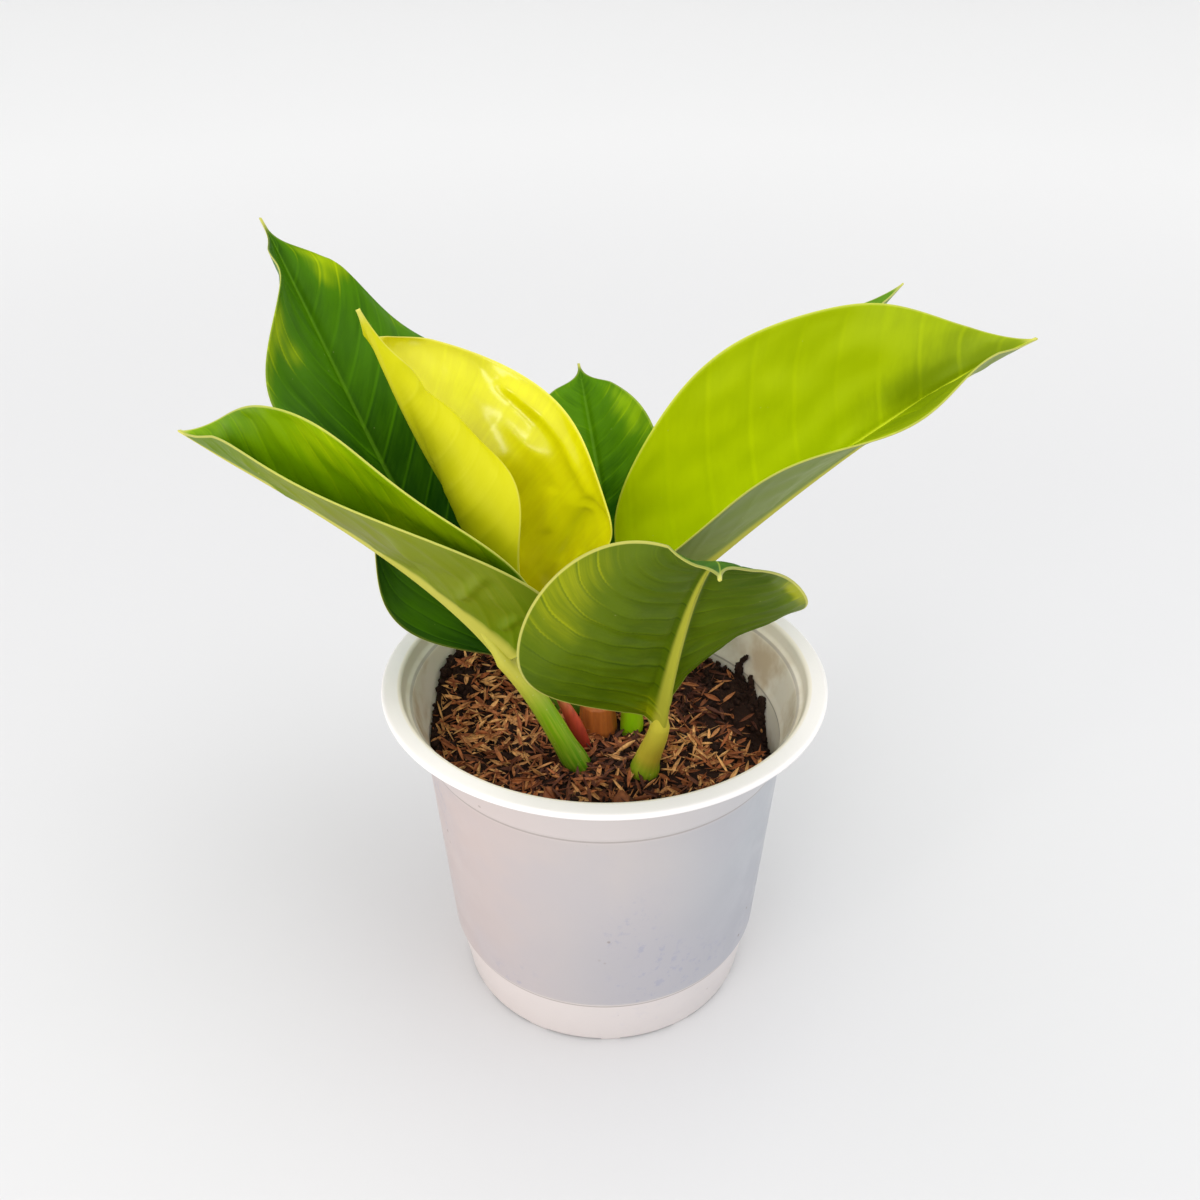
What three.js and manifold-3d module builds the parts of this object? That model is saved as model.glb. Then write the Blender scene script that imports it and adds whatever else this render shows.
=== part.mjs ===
// A potted philodendron: seven leaves round a short crown, in potting mix, in a plastic nursery pot.
// Millimetres and degrees, +Z up. The origin is the centre of the pot's flat base, where it stands.
import * as THREE from 'three';
import { mergeVertices } from 'three/addons/utils/BufferGeometryUtils.js';
import Module from 'manifold-3d';

const wasm = await Module();
wasm.setup();

// Shared steps and clearances
const AROUND = 48; // flats round the pot and the mix
const GAP = 0.35; // clear space between neighbouring solids
const DEG = Math.PI / 180;

// Pot outline as [radius, height]: up the outside, then from the lip down the inside
const POT_OUTSIDE = [
  [58.5, 1], [62.2, 24], // plain skirt
  [63.4, 26], [70.1, 114.6], // body, one small step wider
  [70.9, 115.8], [74.9, 131.8], // flared collar above the seam
  [78.1, 132.9], [78.5, 136.3], [84.3, 136.3], // hollow under the flange
  [85, 137], [85, 138.1], [84.2, 138.8], // rounded edge of the flange
];
const POT_INSIDE = [
  [78.4, 138.9], [77.4, 138.2], [76.2, 133.8], // inner lip
  [73.6, 132], [69.8, 117.6], // ledge and inner collar
  [68.7, 115], [62, 27], [60.8, 24.5], [57.6, 5], [56.8, 3.6], // inner wall
];
const PAD_RADIUS = 22; // flat rest in the middle of the base
const PLATE_UNDER = 1; // the base plate stands this high on its pad and feet
const FEET = { count: 12, first: -87.4, radius: 55.7, width: 8, depth: 4.5, height: 2.2 };
const DRAINS = { count: 6, first: 15, radius: 46, hole: 4, sides: 12, height: 8 };

// Potting mix: a level with a heap at the back left and a hollow at the right wall
const MIX = {
  bottom: 3.95,
  level: 111,
  heap: { at: [-62, 36], spread: [28, 26], rise: 14 },
  hollow: { at: [70, 2], spread: [16, 16], rise: -16 },
  relief: 1.1,
  ripples: [{ pace: 0.31, bend: 1.3, bendPace: 0.17 }, { pace: 0.37, bend: 1.7, bendPace: 0.13 }],
  calmNear: 3, // the surface is even this near a stalk
  calmFar: 11,
  rings: 11,
  wallGuesses: 8, // rounds that find the height at the wall
  shoulder: 114, // a point on the straight part of the wall, under the seam
};
const HUSKS = {
  count: 90,
  seed: 7,
  length: 7.5,
  width: 2.3,
  height: 1.5,
  sizes: [0.75, 1.25],
  tilt: 0.35, // radians up or down
  edge: 7, // clear of the wall
  clear: 6, // clear of a stalk
};

// Crown: where the stalks leave the mix, and how deep they stand in it
const SURFACE = 113; // stalks start to bend here, just clear of the mix
const ROOT_DEPTH = 14;
const HOLE_TOP = 10; // the cutter of a hole reaches this far above the bend
const STALK = { sides: 8, steps: 8, footPull: 0.35, bladePull: 0.4, inRib: 6, ribShare: 0.7 };
const STEM = { at: [-2.5, 1.5], radius: 7.5, neck: 6.6, top: 121 };
const SHEATH = {
  foot: [-8.6, -12], root: [-5.4, -11.6], tip: [-21, -11.5, 141], radius: 2.9, taper: 0.9,
};

// Leaf blades: thickness, midrib and the grid they are drawn on
const BLADE = { thick: 0.8, edge: 0.65, rows: 18 };
const RIB = { depth: 1.6, depthPower: 1.3, width: 0.9, widthPower: 0.8, least: 0.4, shoulder: 0.2 };
const LEAST_WIDTH = { base: 0.05, middle: 0.02, tip: 0.005 }; // share of a half's full width
const NARROW = 14; // a half narrower than this uncurls, down to the least share of its curl
const LEAST_CURL = 0.4;
const FLAT = 1e-4; // radians of curl that stand for none
const WAVE_WIDTH = 0.3; // the waves are full where a half is wider than this share of the left one
const COLUMNS = [0, 0.3, 0.6, 0.85, 1]; // from the side of the midrib to the margin
const ROLLED_COLUMNS = [0, 0.15, 0.3, 0.45, 0.6, 0.74, 0.87, 1];

// Each leaf: base is where blade and stalk meet. rise, roll, fold and curl are given at the base,
// the middle and the tip: rise above level, roll round the midrib, fold of each half up from flat,
// and curl of each half from midrib to margin. wave is [height, count, phase] along a margin.
// round and point shape the outline below and above its widest place.
const LEAVES = {
  leaf_front: {
    base: [18, -30.5, 138.5], length: 161, heading: -67, turn: -29,
    rise: [75, 51, 10], roll: [7, 3, 0], fold: [12, -21, -5], widest: 0.38,
    left: { width: 39, curl: [28, 21, -9], round: 1.3, point: 2.05, wave: [1.5, 2.1, -0.15] },
    right: { width: 55, curl: [-25, 45, 59], round: 1.1, point: 1.8, wave: [3.5, 1.4, 0.3] },
    foot: [15.2, -27], root: [13, -26.6], stalk: [5, 3.6], colour: 0x5c7c12,
  },
  leaf_left: {
    base: [-33, -22, 159.5], length: 159, heading: 179, turn: -42,
    rise: [52, 24, 2], roll: [-16, -31, 8], fold: [79, 70, 47], widest: 0.32,
    left: { width: 49, curl: [8, 15, 23], round: 0.25, point: 1.7, wave: [-1.5, 1.4, -0.4] },
    right: { width: 50, curl: [31, 23, 5], round: 0.65, point: 1.35, wave: [1, 2.5, -0.6] },
    foot: [-11.2, -22], root: [-4.2, -21.4], stalk: [4.6, 3.6], colour: 0x7c9a34,
  },
  leaf_back_left: {
    base: [-37.5, 20, 134], length: 197, heading: 161, turn: -34,
    rise: [43, 58, 38], roll: [-13, -6, 22], fold: [8, 26, 29], widest: 0.48,
    left: { width: 54, curl: [25, 20, 5], round: 0.7, point: 1.15, wave: [-9, 2.2, -0.15] },
    right: { width: 53, curl: [26, -17, -43], round: 0.55, point: 1.3, wave: [9, 2.2, 0.2] },
    foot: [-14, 12], root: [-9.5, 11], stalk: [4.6, 3.6], colour: 0x1f5a10,
  },
  leaf_young_gold: {
    base: [-22, -1, 168], length: 128, heading: 179, turn: 12,
    rise: [49, 65, 69], roll: [-58, -33, 85], fold: [34, 14, 26], widest: 0.24,
    left: { width: 37, curl: [31, 184, 215], round: 0.7, point: 0.8, wave: [-4.5, 2, 0.5] },
    right: { width: 58, curl: [66, 87, 79], round: 0.55, point: 0.85, wave: [0.5, 2.7, 2.3] },
    foot: [-3, 2], root: [-3, 2], stalk: [4.2, 3.2], colour: 0xd8d01c, rolled: true,
  },
  leaf_back: {
    base: [3, 26, 159.5], length: 105, heading: 100, turn: 0,
    rise: [67, 35, 33], roll: [2, -12, -3], fold: [24, 27, 17], widest: 0.42,
    left: { width: 38, curl: [10, 10, 10], round: 0.55, point: 1.4, wave: [0, 2, 0] },
    right: { width: 30, curl: [10, 10, 10], round: 0.55, point: 1.15, wave: [0, 2, 0] },
    foot: [1, 18], root: [0.5, 15.5], stalk: [3.8, 2.8], colour: 0x2f6c14,
  },
  leaf_right: {
    base: [15, 4.5, 166.5], length: 184, heading: 14, turn: 14,
    rise: [36, 29, 11], roll: [8, 16, 3], fold: [63, 53, 36], widest: 0.4,
    left: { width: 62, curl: [22, 31, 2], round: 0.45, point: 1.5, wave: [3, 2, 0.05] },
    right: { width: 48, curl: [9, -1, 2], round: 0.55, point: 1.25, wave: [-3.5, 2.1, 0.05] },
    foot: [10.8, 0], root: [10.4, 0], stalk: [4.2, 3.4], colour: 0x86a80c,
  },
  leaf_right_back: {
    base: [35.5, 50, 164], length: 152, heading: 40, turn: 0,
    rise: [58, 33, 29], roll: [2, -9, -28], fold: [19, 27, 17], widest: 0.42,
    left: { width: 41, curl: [10, 10, 10], round: 0.55, point: 1.35, wave: [0, 2, 0] },
    right: { width: 42, curl: [10, 10, 10], round: 0.55, point: 1.35, wave: [0, 2, 0] },
    foot: [14, 13.5], root: [12, 11.5], stalk: [4.2, 3.2], colour: 0x5e9412,
  },
};

// Small helpers
const vec = (p) => new THREE.Vector3(p[0], p[1], p[2]);
const mix = (a, b, t) => a + (b - a) * t;
const polar = (radius, angle, z) => vec([radius * Math.cos(angle), radius * Math.sin(angle), z]);

// The point reached from a start by steps of [direction, distance]
function along(start, ...steps) {
  return steps.reduce((point, [direction, far]) => point.addScaledVector(direction, far), start.clone());
}

// A quadratic curve through three values at 0, a half and 1
function throughThree([a, b, c], s) {
  return a * (1 - s) * (1 - 2 * s) + b * 4 * s * (1 - s) + c * s * (2 * s - 1);
}

// Radius of a [radius, height] outline at a height
function outlineRadius(outline, z) {
  for (let i = 1; i < outline.length; i += 1) {
    const [ra, za] = outline[i - 1];
    const [rb, zb] = outline[i];
    if ((z - za) * (z - zb) <= 0 && za !== zb) return mix(ra, rb, (z - za) / (zb - za));
  }
  return outline[outline.length - 1][0];
}

// Random numbers from 0 to 1 that repeat for a seed
function randomNumbers(seed) {
  let state = seed;
  return () => {
    state = (state * 1664525 + 1013904223) % 4294967296;
    return state / 4294967296;
  };
}

// Geometry from points and triangles
function faceted(points, triangles) {
  const geometry = new THREE.BufferGeometry();
  geometry.setAttribute('position', new THREE.Float32BufferAttribute(points.flatMap((p) => p.toArray()), 3));
  geometry.setIndex(triangles.flat());
  return geometry;
}

// A closed tube through rings of points that run anticlockwise seen from its end
function tube(rings) {
  const sides = rings[0].length;
  const points = rings.flat();
  const triangles = [];
  for (let i = 0; i + 1 < rings.length; i += 1) {
    for (let j = 0; j < sides; j += 1) {
      const k = (j + 1) % sides;
      const [a, b] = [i * sides + j, i * sides + k];
      triangles.push([a, b, b + sides], [a, b + sides, a + sides]);
    }
  }
  const last = (rings.length - 1) * sides;
  for (let j = 1; j + 1 < sides; j += 1) {
    triangles.push([0, j + 1, j], [last, last + j, last + j + 1]);
  }
  return faceted(points, triangles);
}

// A closed sheet between a grid of upper points and one of lower points, cut alike on both faces
function sheet(upper, lower) {
  const columns = upper[0].length;
  const points = [...upper.flat(), ...lower.flat()];
  const under = upper.length * columns;
  const triangles = [];
  for (let i = 0; i + 1 < upper.length; i += 1) {
    for (let j = 0; j + 1 < columns; j += 1) {
      const a = i * columns + j;
      const [b, c, d] = [a + 1, a + columns + 1, a + columns];
      triangles.push([a, b, c], [a, c, d]);
      triangles.push([a + under, c + under, b + under], [a + under, d + under, c + under]);
    }
  }
  const border = [];
  const lastRow = (upper.length - 1) * columns;
  for (let j = 0; j + 1 < columns; j += 1) border.push([j, j + 1], [lastRow + j + 1, lastRow + j]);
  for (let i = 0; i + 1 < upper.length; i += 1) {
    border.push([(i + 1) * columns, i * columns], [(i + 1) * columns - 1, (i + 2) * columns - 1]);
  }
  for (const [a, b] of border) triangles.push([a, a + under, b + under], [a, b + under, b]);
  return faceted(points, triangles);
}

// Closed geometry to a solid that can be joined and cut, and back
function solid(geometry) {
  const bare = geometry.clone();
  bare.deleteAttribute('normal');
  bare.deleteAttribute('uv');
  const merged = mergeVertices(bare, 1e-4);
  return new wasm.Manifold(new wasm.Mesh({
    numProp: 3,
    vertProperties: new Float32Array(merged.attributes.position.array),
    triVerts: new Uint32Array(merged.index.array),
  }));
}

function geometryOf(body) {
  const { vertProperties, triVerts } = body.getMesh();
  const geometry = new THREE.BufferGeometry();
  geometry.setAttribute('position', new THREE.BufferAttribute(vertProperties, 3));
  geometry.setIndex(new THREE.BufferAttribute(triVerts, 1));
  geometry.computeVertexNormals();
  return geometry;
}

function makeMesh(name, body, colour, roughness) {
  const material = new THREE.MeshStandardMaterial({ color: colour, roughness, metalness: 0 });
  const mesh = new THREE.Mesh(geometryOf(body), material);
  mesh.name = name;
  return mesh;
}

// Pot: a turned shell with twelve feet under its edge and drain holes in its base
function makePot() {
  const outline = [
    [0, 0], [PAD_RADIUS, 0], [PAD_RADIUS + PLATE_UNDER, PLATE_UNDER], ...POT_OUTSIDE,
    ...POT_INSIDE, [0, POT_INSIDE[POT_INSIDE.length - 1][1]],
  ];
  const turned = new THREE.LatheGeometry(outline.map(([r, z]) => new THREE.Vector2(r, z)), AROUND);
  let pot = solid(turned.rotateX(90 * DEG));
  for (let i = 0; i < FEET.count; i += 1) {
    const foot = new THREE.BoxGeometry(FEET.depth, FEET.width, FEET.height);
    foot.translate(FEET.radius, 0, FEET.height / 2);
    foot.rotateZ((FEET.first + (360 * i) / FEET.count) * DEG);
    pot = pot.add(solid(foot));
  }
  for (let i = 0; i < DRAINS.count; i += 1) {
    const drain = new THREE.CylinderGeometry(DRAINS.hole, DRAINS.hole, DRAINS.height, DRAINS.sides);
    drain.rotateX(90 * DEG);
    drain.translate(DRAINS.radius, 0, 0);
    drain.rotateZ((DRAINS.first + (360 * i) / DRAINS.count) * DEG);
    pot = pot.subtract(solid(drain));
  }
  return pot;
}

// Potting mix
const STALK_FEET = [
  { at: STEM.at, radius: STEM.radius },
  { at: SHEATH.foot, radius: SHEATH.radius },
  ...Object.values(LEAVES).map((leaf) => ({ at: leaf.foot, radius: leaf.stalk[0] })),
];

function nearestStalk(x, y) {
  return Math.min(...STALK_FEET.map(({ at, radius }) => Math.hypot(x - at[0], y - at[1]) - radius));
}

function bump({ at, spread, rise }, x, y) {
  return rise * Math.exp(-(((x - at[0]) / spread[0]) ** 2) - ((y - at[1]) / spread[1]) ** 2);
}

// A winding ripple along one direction
function ripple({ pace, bend, bendPace }, onward, sideways) {
  return Math.sin(onward * pace + bend * Math.sin(sideways * bendPace));
}

function mixHeight(x, y) {
  const rough = THREE.MathUtils.smoothstep(nearestStalk(x, y), MIX.calmNear, MIX.calmFar);
  const waves = ripple(MIX.ripples[0], x, y) + ripple(MIX.ripples[1], y, x);
  return MIX.level + bump(MIX.heap, x, y) + bump(MIX.hollow, x, y) + (rough * MIX.relief * waves) / 2;
}

// The mix meets the wall where its height and the wall's slope agree
function wallPoint(angle) {
  let z = MIX.level;
  for (let guess = 0; guess < MIX.wallGuesses; guess += 1) {
    const radius = outlineRadius(POT_INSIDE, z) - GAP;
    z = mixHeight(radius * Math.cos(angle), radius * Math.sin(angle));
  }
  return [outlineRadius(POT_INSIDE, z) - GAP, z];
}

function makeMixBody() {
  const lowWall = POT_INSIDE.slice(-4, -1).map(([r, z]) => [r - GAP, z + GAP]);
  const rings = [];
  for (let row = 0; row < MIX.rings + lowWall.length + 2; row += 1) rings.push([]);
  for (let j = 0; j < AROUND; j += 1) {
    const angle = (j * 2 * Math.PI) / AROUND;
    const [wallRadius, wallHeight] = wallPoint(angle);
    const shoulder = Math.min(wallHeight - 2, MIX.shoulder);
    const side = [
      [wallRadius, wallHeight],
      [outlineRadius(POT_INSIDE, shoulder) - GAP, shoulder],
      ...lowWall,
      [POT_INSIDE[POT_INSIDE.length - 1][0] - GAP, MIX.bottom],
    ];
    for (let row = 0; row + 1 < MIX.rings; row += 1) {
      const radius = (wallRadius * (row + 1)) / MIX.rings;
      const p = polar(radius, angle, 0);
      rings[row].push(p.setZ(mixHeight(p.x, p.y)));
    }
    side.forEach(([r, z], row) => rings[MIX.rings - 1 + row].push(polar(r, angle, z)));
  }
  return solid(tube(rings.reverse()));
}

// A husk: a slim boat with two points, lying on the mix and sunk into it
function makeHusk(x, y, heading, tilt, size) {
  const husk = new THREE.OctahedronGeometry(1, 0);
  husk.scale((HUSKS.length / 2) * size, (HUSKS.width / 2) * size, HUSKS.height / 2);
  husk.rotateY(tilt);
  husk.rotateZ(heading);
  husk.translate(x, y, mixHeight(x, y));
  return solid(husk);
}

// A husk that misses the surface, or is cut off by a hole, is left out
function largestPiece(body) {
  return body.decompose().reduce((a, b) => (b.volume() > a.volume() ? b : a));
}

function addHusks(body) {
  const random = randomNumbers(HUSKS.seed);
  const reach = outlineRadius(POT_INSIDE, MIX.level) - HUSKS.edge;
  let placed = 0;
  let joined = body;
  while (placed < HUSKS.count) {
    const radius = reach * Math.sqrt(random());
    const { x, y } = polar(radius, random() * 2 * Math.PI, 0);
    const heading = random() * Math.PI;
    const tilt = mix(-HUSKS.tilt, HUSKS.tilt, random());
    const size = mix(...HUSKS.sizes, random());
    if (nearestStalk(x, y) < HUSKS.clear) continue;
    joined = joined.add(makeHusk(x, y, heading, tilt, size));
    placed += 1;
  }
  return joined;
}

// Stalks are tubes through rings of points
function ring(centre, direction, side, radius) {
  const up = new THREE.Vector3().crossVectors(direction, side).normalize();
  const across = new THREE.Vector3().crossVectors(up, direction).normalize();
  const points = [];
  for (let j = 0; j < STALK.sides; j += 1) {
    const angle = ((j + 0.5) * 2 * Math.PI) / STALK.sides;
    points.push(along(centre, [across, radius * Math.cos(angle)], [up, radius * Math.sin(angle)]));
  }
  return points;
}

// Where a stalk stands in the mix: its root line up to the place where it starts to bend
function rootLine(foot, root) {
  const top = vec([...foot, SURFACE]);
  const end = vec([...root, SURFACE - ROOT_DEPTH]);
  return { top, end, direction: top.clone().sub(end).normalize() };
}

const ACROSS = new THREE.Vector3(1, 0, 0);
const UP = new THREE.Vector3(0, 0, 1);

// The plain hole that a stalk stands in, with its flats alongside the stalk's own
function makeHole({ top, end, direction }, side, radius) {
  const wide = radius + GAP / Math.cos(Math.PI / STALK.sides);
  const ends = [along(end, [direction, -GAP]), along(top, [direction, HOLE_TOP])];
  return solid(tube(ends.map((p) => ring(p, direction, side, wide))));
}

// Outline of one half of a blade, as a share of its full width
function halfWidth(half, widest, s) {
  const below = 1 - (1 - s / widest) ** 2;
  const above = 1 - ((s - widest) / (1 - widest)) ** 2;
  const share = s < widest ? below ** half.round : above ** half.point;
  const end = mix(LEAST_WIDTH.middle, LEAST_WIDTH.tip, THREE.MathUtils.smoothstep(s, 0.9, 1));
  return half.width * Math.max(share, s < widest ? LEAST_WIDTH.base : end);
}

// Directions at a place along the midrib: ahead, to the left, and out of the upper face
function midribFrame(leaf, s) {
  const rise = throughThree(leaf.rise, s) * DEG;
  const heading = (leaf.heading + leaf.turn * s) * DEG;
  const roll = throughThree(leaf.roll, s) * DEG;
  const ahead = new THREE.Vector3(
    Math.cos(rise) * Math.cos(heading), Math.cos(rise) * Math.sin(heading), Math.sin(rise),
  );
  const level = new THREE.Vector3(-Math.sin(heading), Math.cos(heading), 0);
  const up = new THREE.Vector3().crossVectors(ahead, level);
  const left = level.clone().multiplyScalar(Math.cos(roll)).addScaledVector(up, Math.sin(roll));
  const out = up.multiplyScalar(Math.cos(roll)).addScaledVector(level, -Math.sin(roll));
  return { s, ahead, left, out };
}

// The midrib as frames with their points, denser towards both ends
function midrib(leaf) {
  const frames = [];
  const point = vec(leaf.base);
  const parts = 4;
  let reached = 0;
  for (let i = 0; i <= BLADE.rows; i += 1) {
    const even = i / BLADE.rows;
    const s = mix(even, (1 - Math.cos(even * Math.PI)) / 2, 0.5);
    for (let k = 0; k < parts && s > 0; k += 1) {
      const middle = mix(reached, s, (k + 0.5) / parts);
      point.addScaledVector(midribFrame(leaf, middle).ahead, (leaf.length * (s - reached)) / parts);
    }
    reached = s;
    frames.push({ ...midribFrame(leaf, s), point: point.clone() });
  }
  return frames;
}

// A point on the upper face of one half, and the normal there. tau runs from midrib to margin.
function bladePoint(leaf, frame, side, tau) {
  const half = side > 0 ? leaf.left : leaf.right;
  const width = halfWidth(half, leaf.widest, frame.s);
  const fold = throughThree(leaf.fold, frame.s) * DEG;
  const uncurl = THREE.MathUtils.clamp(width / NARROW, LEAST_CURL, 1);
  const curl = throughThree(half.curl, frame.s) * uncurl * DEG || FLAT;
  const angle = fold + curl * tau;
  const [height, count, phase] = half.wave;
  const wideEnough = Math.min(width / (WAVE_WIDTH * leaf.left.width), 1);
  const fade = tau * tau * wideEnough * Math.sqrt(Math.sin(Math.PI * frame.s));
  const wave = frame.s < 1 ? height * Math.sin(2 * Math.PI * (count * frame.s + phase)) * fade : 0;
  const across = (width * (Math.sin(angle) - Math.sin(fold))) / curl - wave * Math.sin(angle);
  const up = (width * (Math.cos(fold) - Math.cos(angle))) / curl + wave * Math.cos(angle);
  const normal = frame.out.clone().multiplyScalar(Math.cos(angle));
  normal.addScaledVector(frame.left, -side * Math.sin(angle));
  return { point: along(frame.point, [frame.left, side * across], [frame.out, up]), normal };
}

// One row of a blade from its left margin to its right, upper and lower
function bladeRow(leaf, frame) {
  const stalk = leaf.stalk[1];
  const ribHalf = RIB.width * stalk * (1 - frame.s) ** RIB.widthPower + RIB.least;
  const ribDepth = RIB.depth * stalk * (1 - frame.s) ** RIB.depthPower;
  const upper = [frame.point];
  const lower = [along(frame.point, [frame.out, -BLADE.thick - ribDepth])];
  for (const side of [1, -1]) {
    const half = side > 0 ? leaf.left : leaf.right;
    const ribEdge = Math.min(ribHalf / halfWidth(half, leaf.widest, frame.s), 0.5);
    for (const column of leaf.rolled && side > 0 ? ROLLED_COLUMNS : COLUMNS) {
      const tau = mix(ribEdge, 1, column);
      const { point, normal } = bladePoint(leaf, frame, side, tau);
      const depth = mix(BLADE.thick, BLADE.edge, tau) + (column === 0 ? RIB.shoulder * ribDepth : 0);
      const below = along(point, [normal, -depth]);
      if (side > 0) {
        upper.unshift(point);
        lower.unshift(below);
      } else {
        upper.push(point);
        lower.push(below);
      }
    }
  }
  return { upper, lower };
}

// The stalk from its root in the mix to the underside of the blade
function makeStalk(leaf, frames) {
  const [thick, thin] = leaf.stalk;
  const start = frames[0];
  const end = along(start.point, [start.out, -thin - BLADE.thick / 2]);
  const line = leaf.rolled ? null : rootLine(leaf.foot, leaf.root);
  const foot = line ? line.top : vec([...leaf.foot, STEM.top + GAP]);
  const footDirection = line ? line.direction : UP;
  const reach = foot.distanceTo(end);
  const curve = new THREE.CubicBezierCurve3(
    foot,
    along(foot, [footDirection, STALK.footPull * reach]),
    along(end, [start.ahead, -STALK.bladePull * reach]),
    end,
  );
  const rings = line ? [ring(line.end, line.direction, start.left, thick)] : [];
  for (let i = 0; i <= STALK.steps; i += 1) {
    const t = i / STALK.steps;
    rings.push(ring(curve.getPoint(t), curve.getTangent(t), start.left, mix(thick, thin, t)));
  }
  const inRib = along(end, [start.ahead, STALK.inRib]);
  rings.push(ring(inRib, start.ahead, start.left, STALK.ribShare * thin));
  return solid(tube(rings));
}

function makeLeaf(leaf) {
  const frames = midrib(leaf);
  const rows = frames.map((frame) => bladeRow(leaf, frame));
  const blade = solid(sheet(rows.map((row) => row.upper), rows.map((row) => row.lower)));
  return blade.add(makeStalk(leaf, frames));
}

// The short stem, flat on top, that the youngest leaf stands on
function makeStem() {
  const levels = [
    [SURFACE - ROOT_DEPTH, STEM.radius], [SURFACE, STEM.radius], [STEM.top, STEM.neck],
  ];
  return solid(tube(levels.map(([z, radius]) => ring(vec([...STEM.at, z]), UP, ACROSS, radius))));
}

// The red sheath: a slim pointed scale leaning beside the stem
function makeSheath() {
  const line = rootLine(SHEATH.foot, SHEATH.root);
  const tip = vec(SHEATH.tip);
  const reach = line.top.distanceTo(tip);
  const curve = new THREE.QuadraticBezierCurve3(line.top, along(line.top, [line.direction, reach / 2]), tip);
  const rings = [ring(line.end, line.direction, ACROSS, SHEATH.radius)];
  for (const t of [0, 0.3, 0.6, 0.85, 1]) {
    const radius = SHEATH.radius * (1 - SHEATH.taper * t * t);
    rings.push(ring(curve.getPoint(t), curve.getTangent(t), ACROSS, radius));
  }
  return solid(tube(rings));
}

// Assembly
const plant = new THREE.Group();
let pottingMix = addHusks(makeMixBody());
pottingMix = pottingMix.subtract(makeHole(rootLine(STEM.at, STEM.at), ACROSS, STEM.radius));
pottingMix = pottingMix.subtract(makeHole(rootLine(SHEATH.foot, SHEATH.root), ACROSS, SHEATH.radius));
for (const leaf of Object.values(LEAVES).filter(({ rolled }) => !rolled)) {
  const line = rootLine(leaf.foot, leaf.root);
  pottingMix = pottingMix.subtract(makeHole(line, midribFrame(leaf, 0).left, leaf.stalk[0]));
}
plant.add(makeMesh('pot', makePot(), 0xece7e4, 0.35));
plant.add(makeMesh('potting_mix', largestPiece(pottingMix), 0x4b3122, 0.95));
plant.add(makeMesh('stem', makeStem(), 0x96571f, 0.6));
plant.add(makeMesh('sheath_red', makeSheath(), 0xa33c2c, 0.5));
for (const [name, leaf] of Object.entries(LEAVES)) {
  plant.add(makeMesh(name, makeLeaf(leaf), leaf.colour, 0.35));
}

export default plant;
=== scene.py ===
"""A potted philodendron dressed for rendering: leaves, stalks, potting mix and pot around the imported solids.

Sizes are millimetres and degrees, and turn into metres when a mesh is made.
"""

import math

import bpy
import numpy as np
from mathutils import Matrix, Vector, noise


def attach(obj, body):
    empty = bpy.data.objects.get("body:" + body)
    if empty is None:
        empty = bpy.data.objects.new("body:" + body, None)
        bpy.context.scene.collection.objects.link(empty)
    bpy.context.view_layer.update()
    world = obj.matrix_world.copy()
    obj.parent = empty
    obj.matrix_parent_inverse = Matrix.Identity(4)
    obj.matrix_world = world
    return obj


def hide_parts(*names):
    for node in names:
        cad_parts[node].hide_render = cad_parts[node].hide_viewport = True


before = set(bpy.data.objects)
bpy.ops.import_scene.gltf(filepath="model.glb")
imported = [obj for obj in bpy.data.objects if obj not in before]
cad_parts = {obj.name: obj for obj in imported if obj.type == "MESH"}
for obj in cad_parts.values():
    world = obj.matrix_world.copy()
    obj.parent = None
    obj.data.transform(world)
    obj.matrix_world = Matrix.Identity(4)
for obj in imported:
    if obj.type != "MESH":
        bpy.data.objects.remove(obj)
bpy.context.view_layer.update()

MM = 0.001
SURFACE = 113.0  # stalks start to bend here, just clear of the mix
ROOT_DEPTH = 14.0

# Camera at the photograph's viewing angle
CAMERA = {"place": (-1.69, -385.33, 394.75), "down": 30.22, "lens": 36.0, "sensor": 36.0}

# Light: strength of the sky at the horizon and straight up, and the lamps
SKY = {"level": 0.62, "above": 1.2}
# Name, place, width and height in metres, watts and colour
LAMPS = [
    ("top", (0.3, -0.2, 1.5), (0.9, 0.9), 5, (1, 1, 1)),
    ("window", (-0.55, -1.15, 0.8), (0.5, 0.3), 3.0, (1, 0.99, 0.97)),
    ("left", (-0.95, -0.9, 0.32), (0.2, 0.5), 2.4, (1, 0.9, 0.85)),
    ("right", (1.4, -0.7, 0.35), (0.8, 0.8), 1.6, (0.84, 0.91, 1)),
]

# Pot outline as [radius, height]: up the outside, then from the lip down the inside
POT_OUTSIDE = [
    (22, 0), (23, 1), (58.5, 1), (62.2, 24), (63.4, 26), (70.1, 114.6), (70.9, 115.8),
    (74.9, 131.8), (78.1, 132.9), (78.5, 136.3), (84.3, 136.3), (85, 137), (85, 138.1), (84.2, 138.8),
]
POT_INSIDE = [
    (78.4, 138.9), (77.4, 138.2), (76.2, 133.8), (73.6, 132), (69.8, 117.6),
    (68.7, 115), (62, 27), (60.8, 24.5), (57.6, 5), (56.8, 3.6),
]
FEET = {"count": 12, "first": -87.4, "radius": 55.7, "width": 8, "depth": 4.5, "height": 2.2, "bevel": 0.5}
DRAINS = {"count": 6, "first": 15, "radius": 46, "hole": 4, "height": 8, "middle": 2, "sides": 32}
POT_AROUND = 240
POT_AXIS = 0.02  # radius at which the profile ends in the middle
POT_CORNER = 0.8  # reach of the small curve at each corner
POT_SEAMS = (23.6, 114.3, 132.4)  # heights of the thin lines

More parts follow.
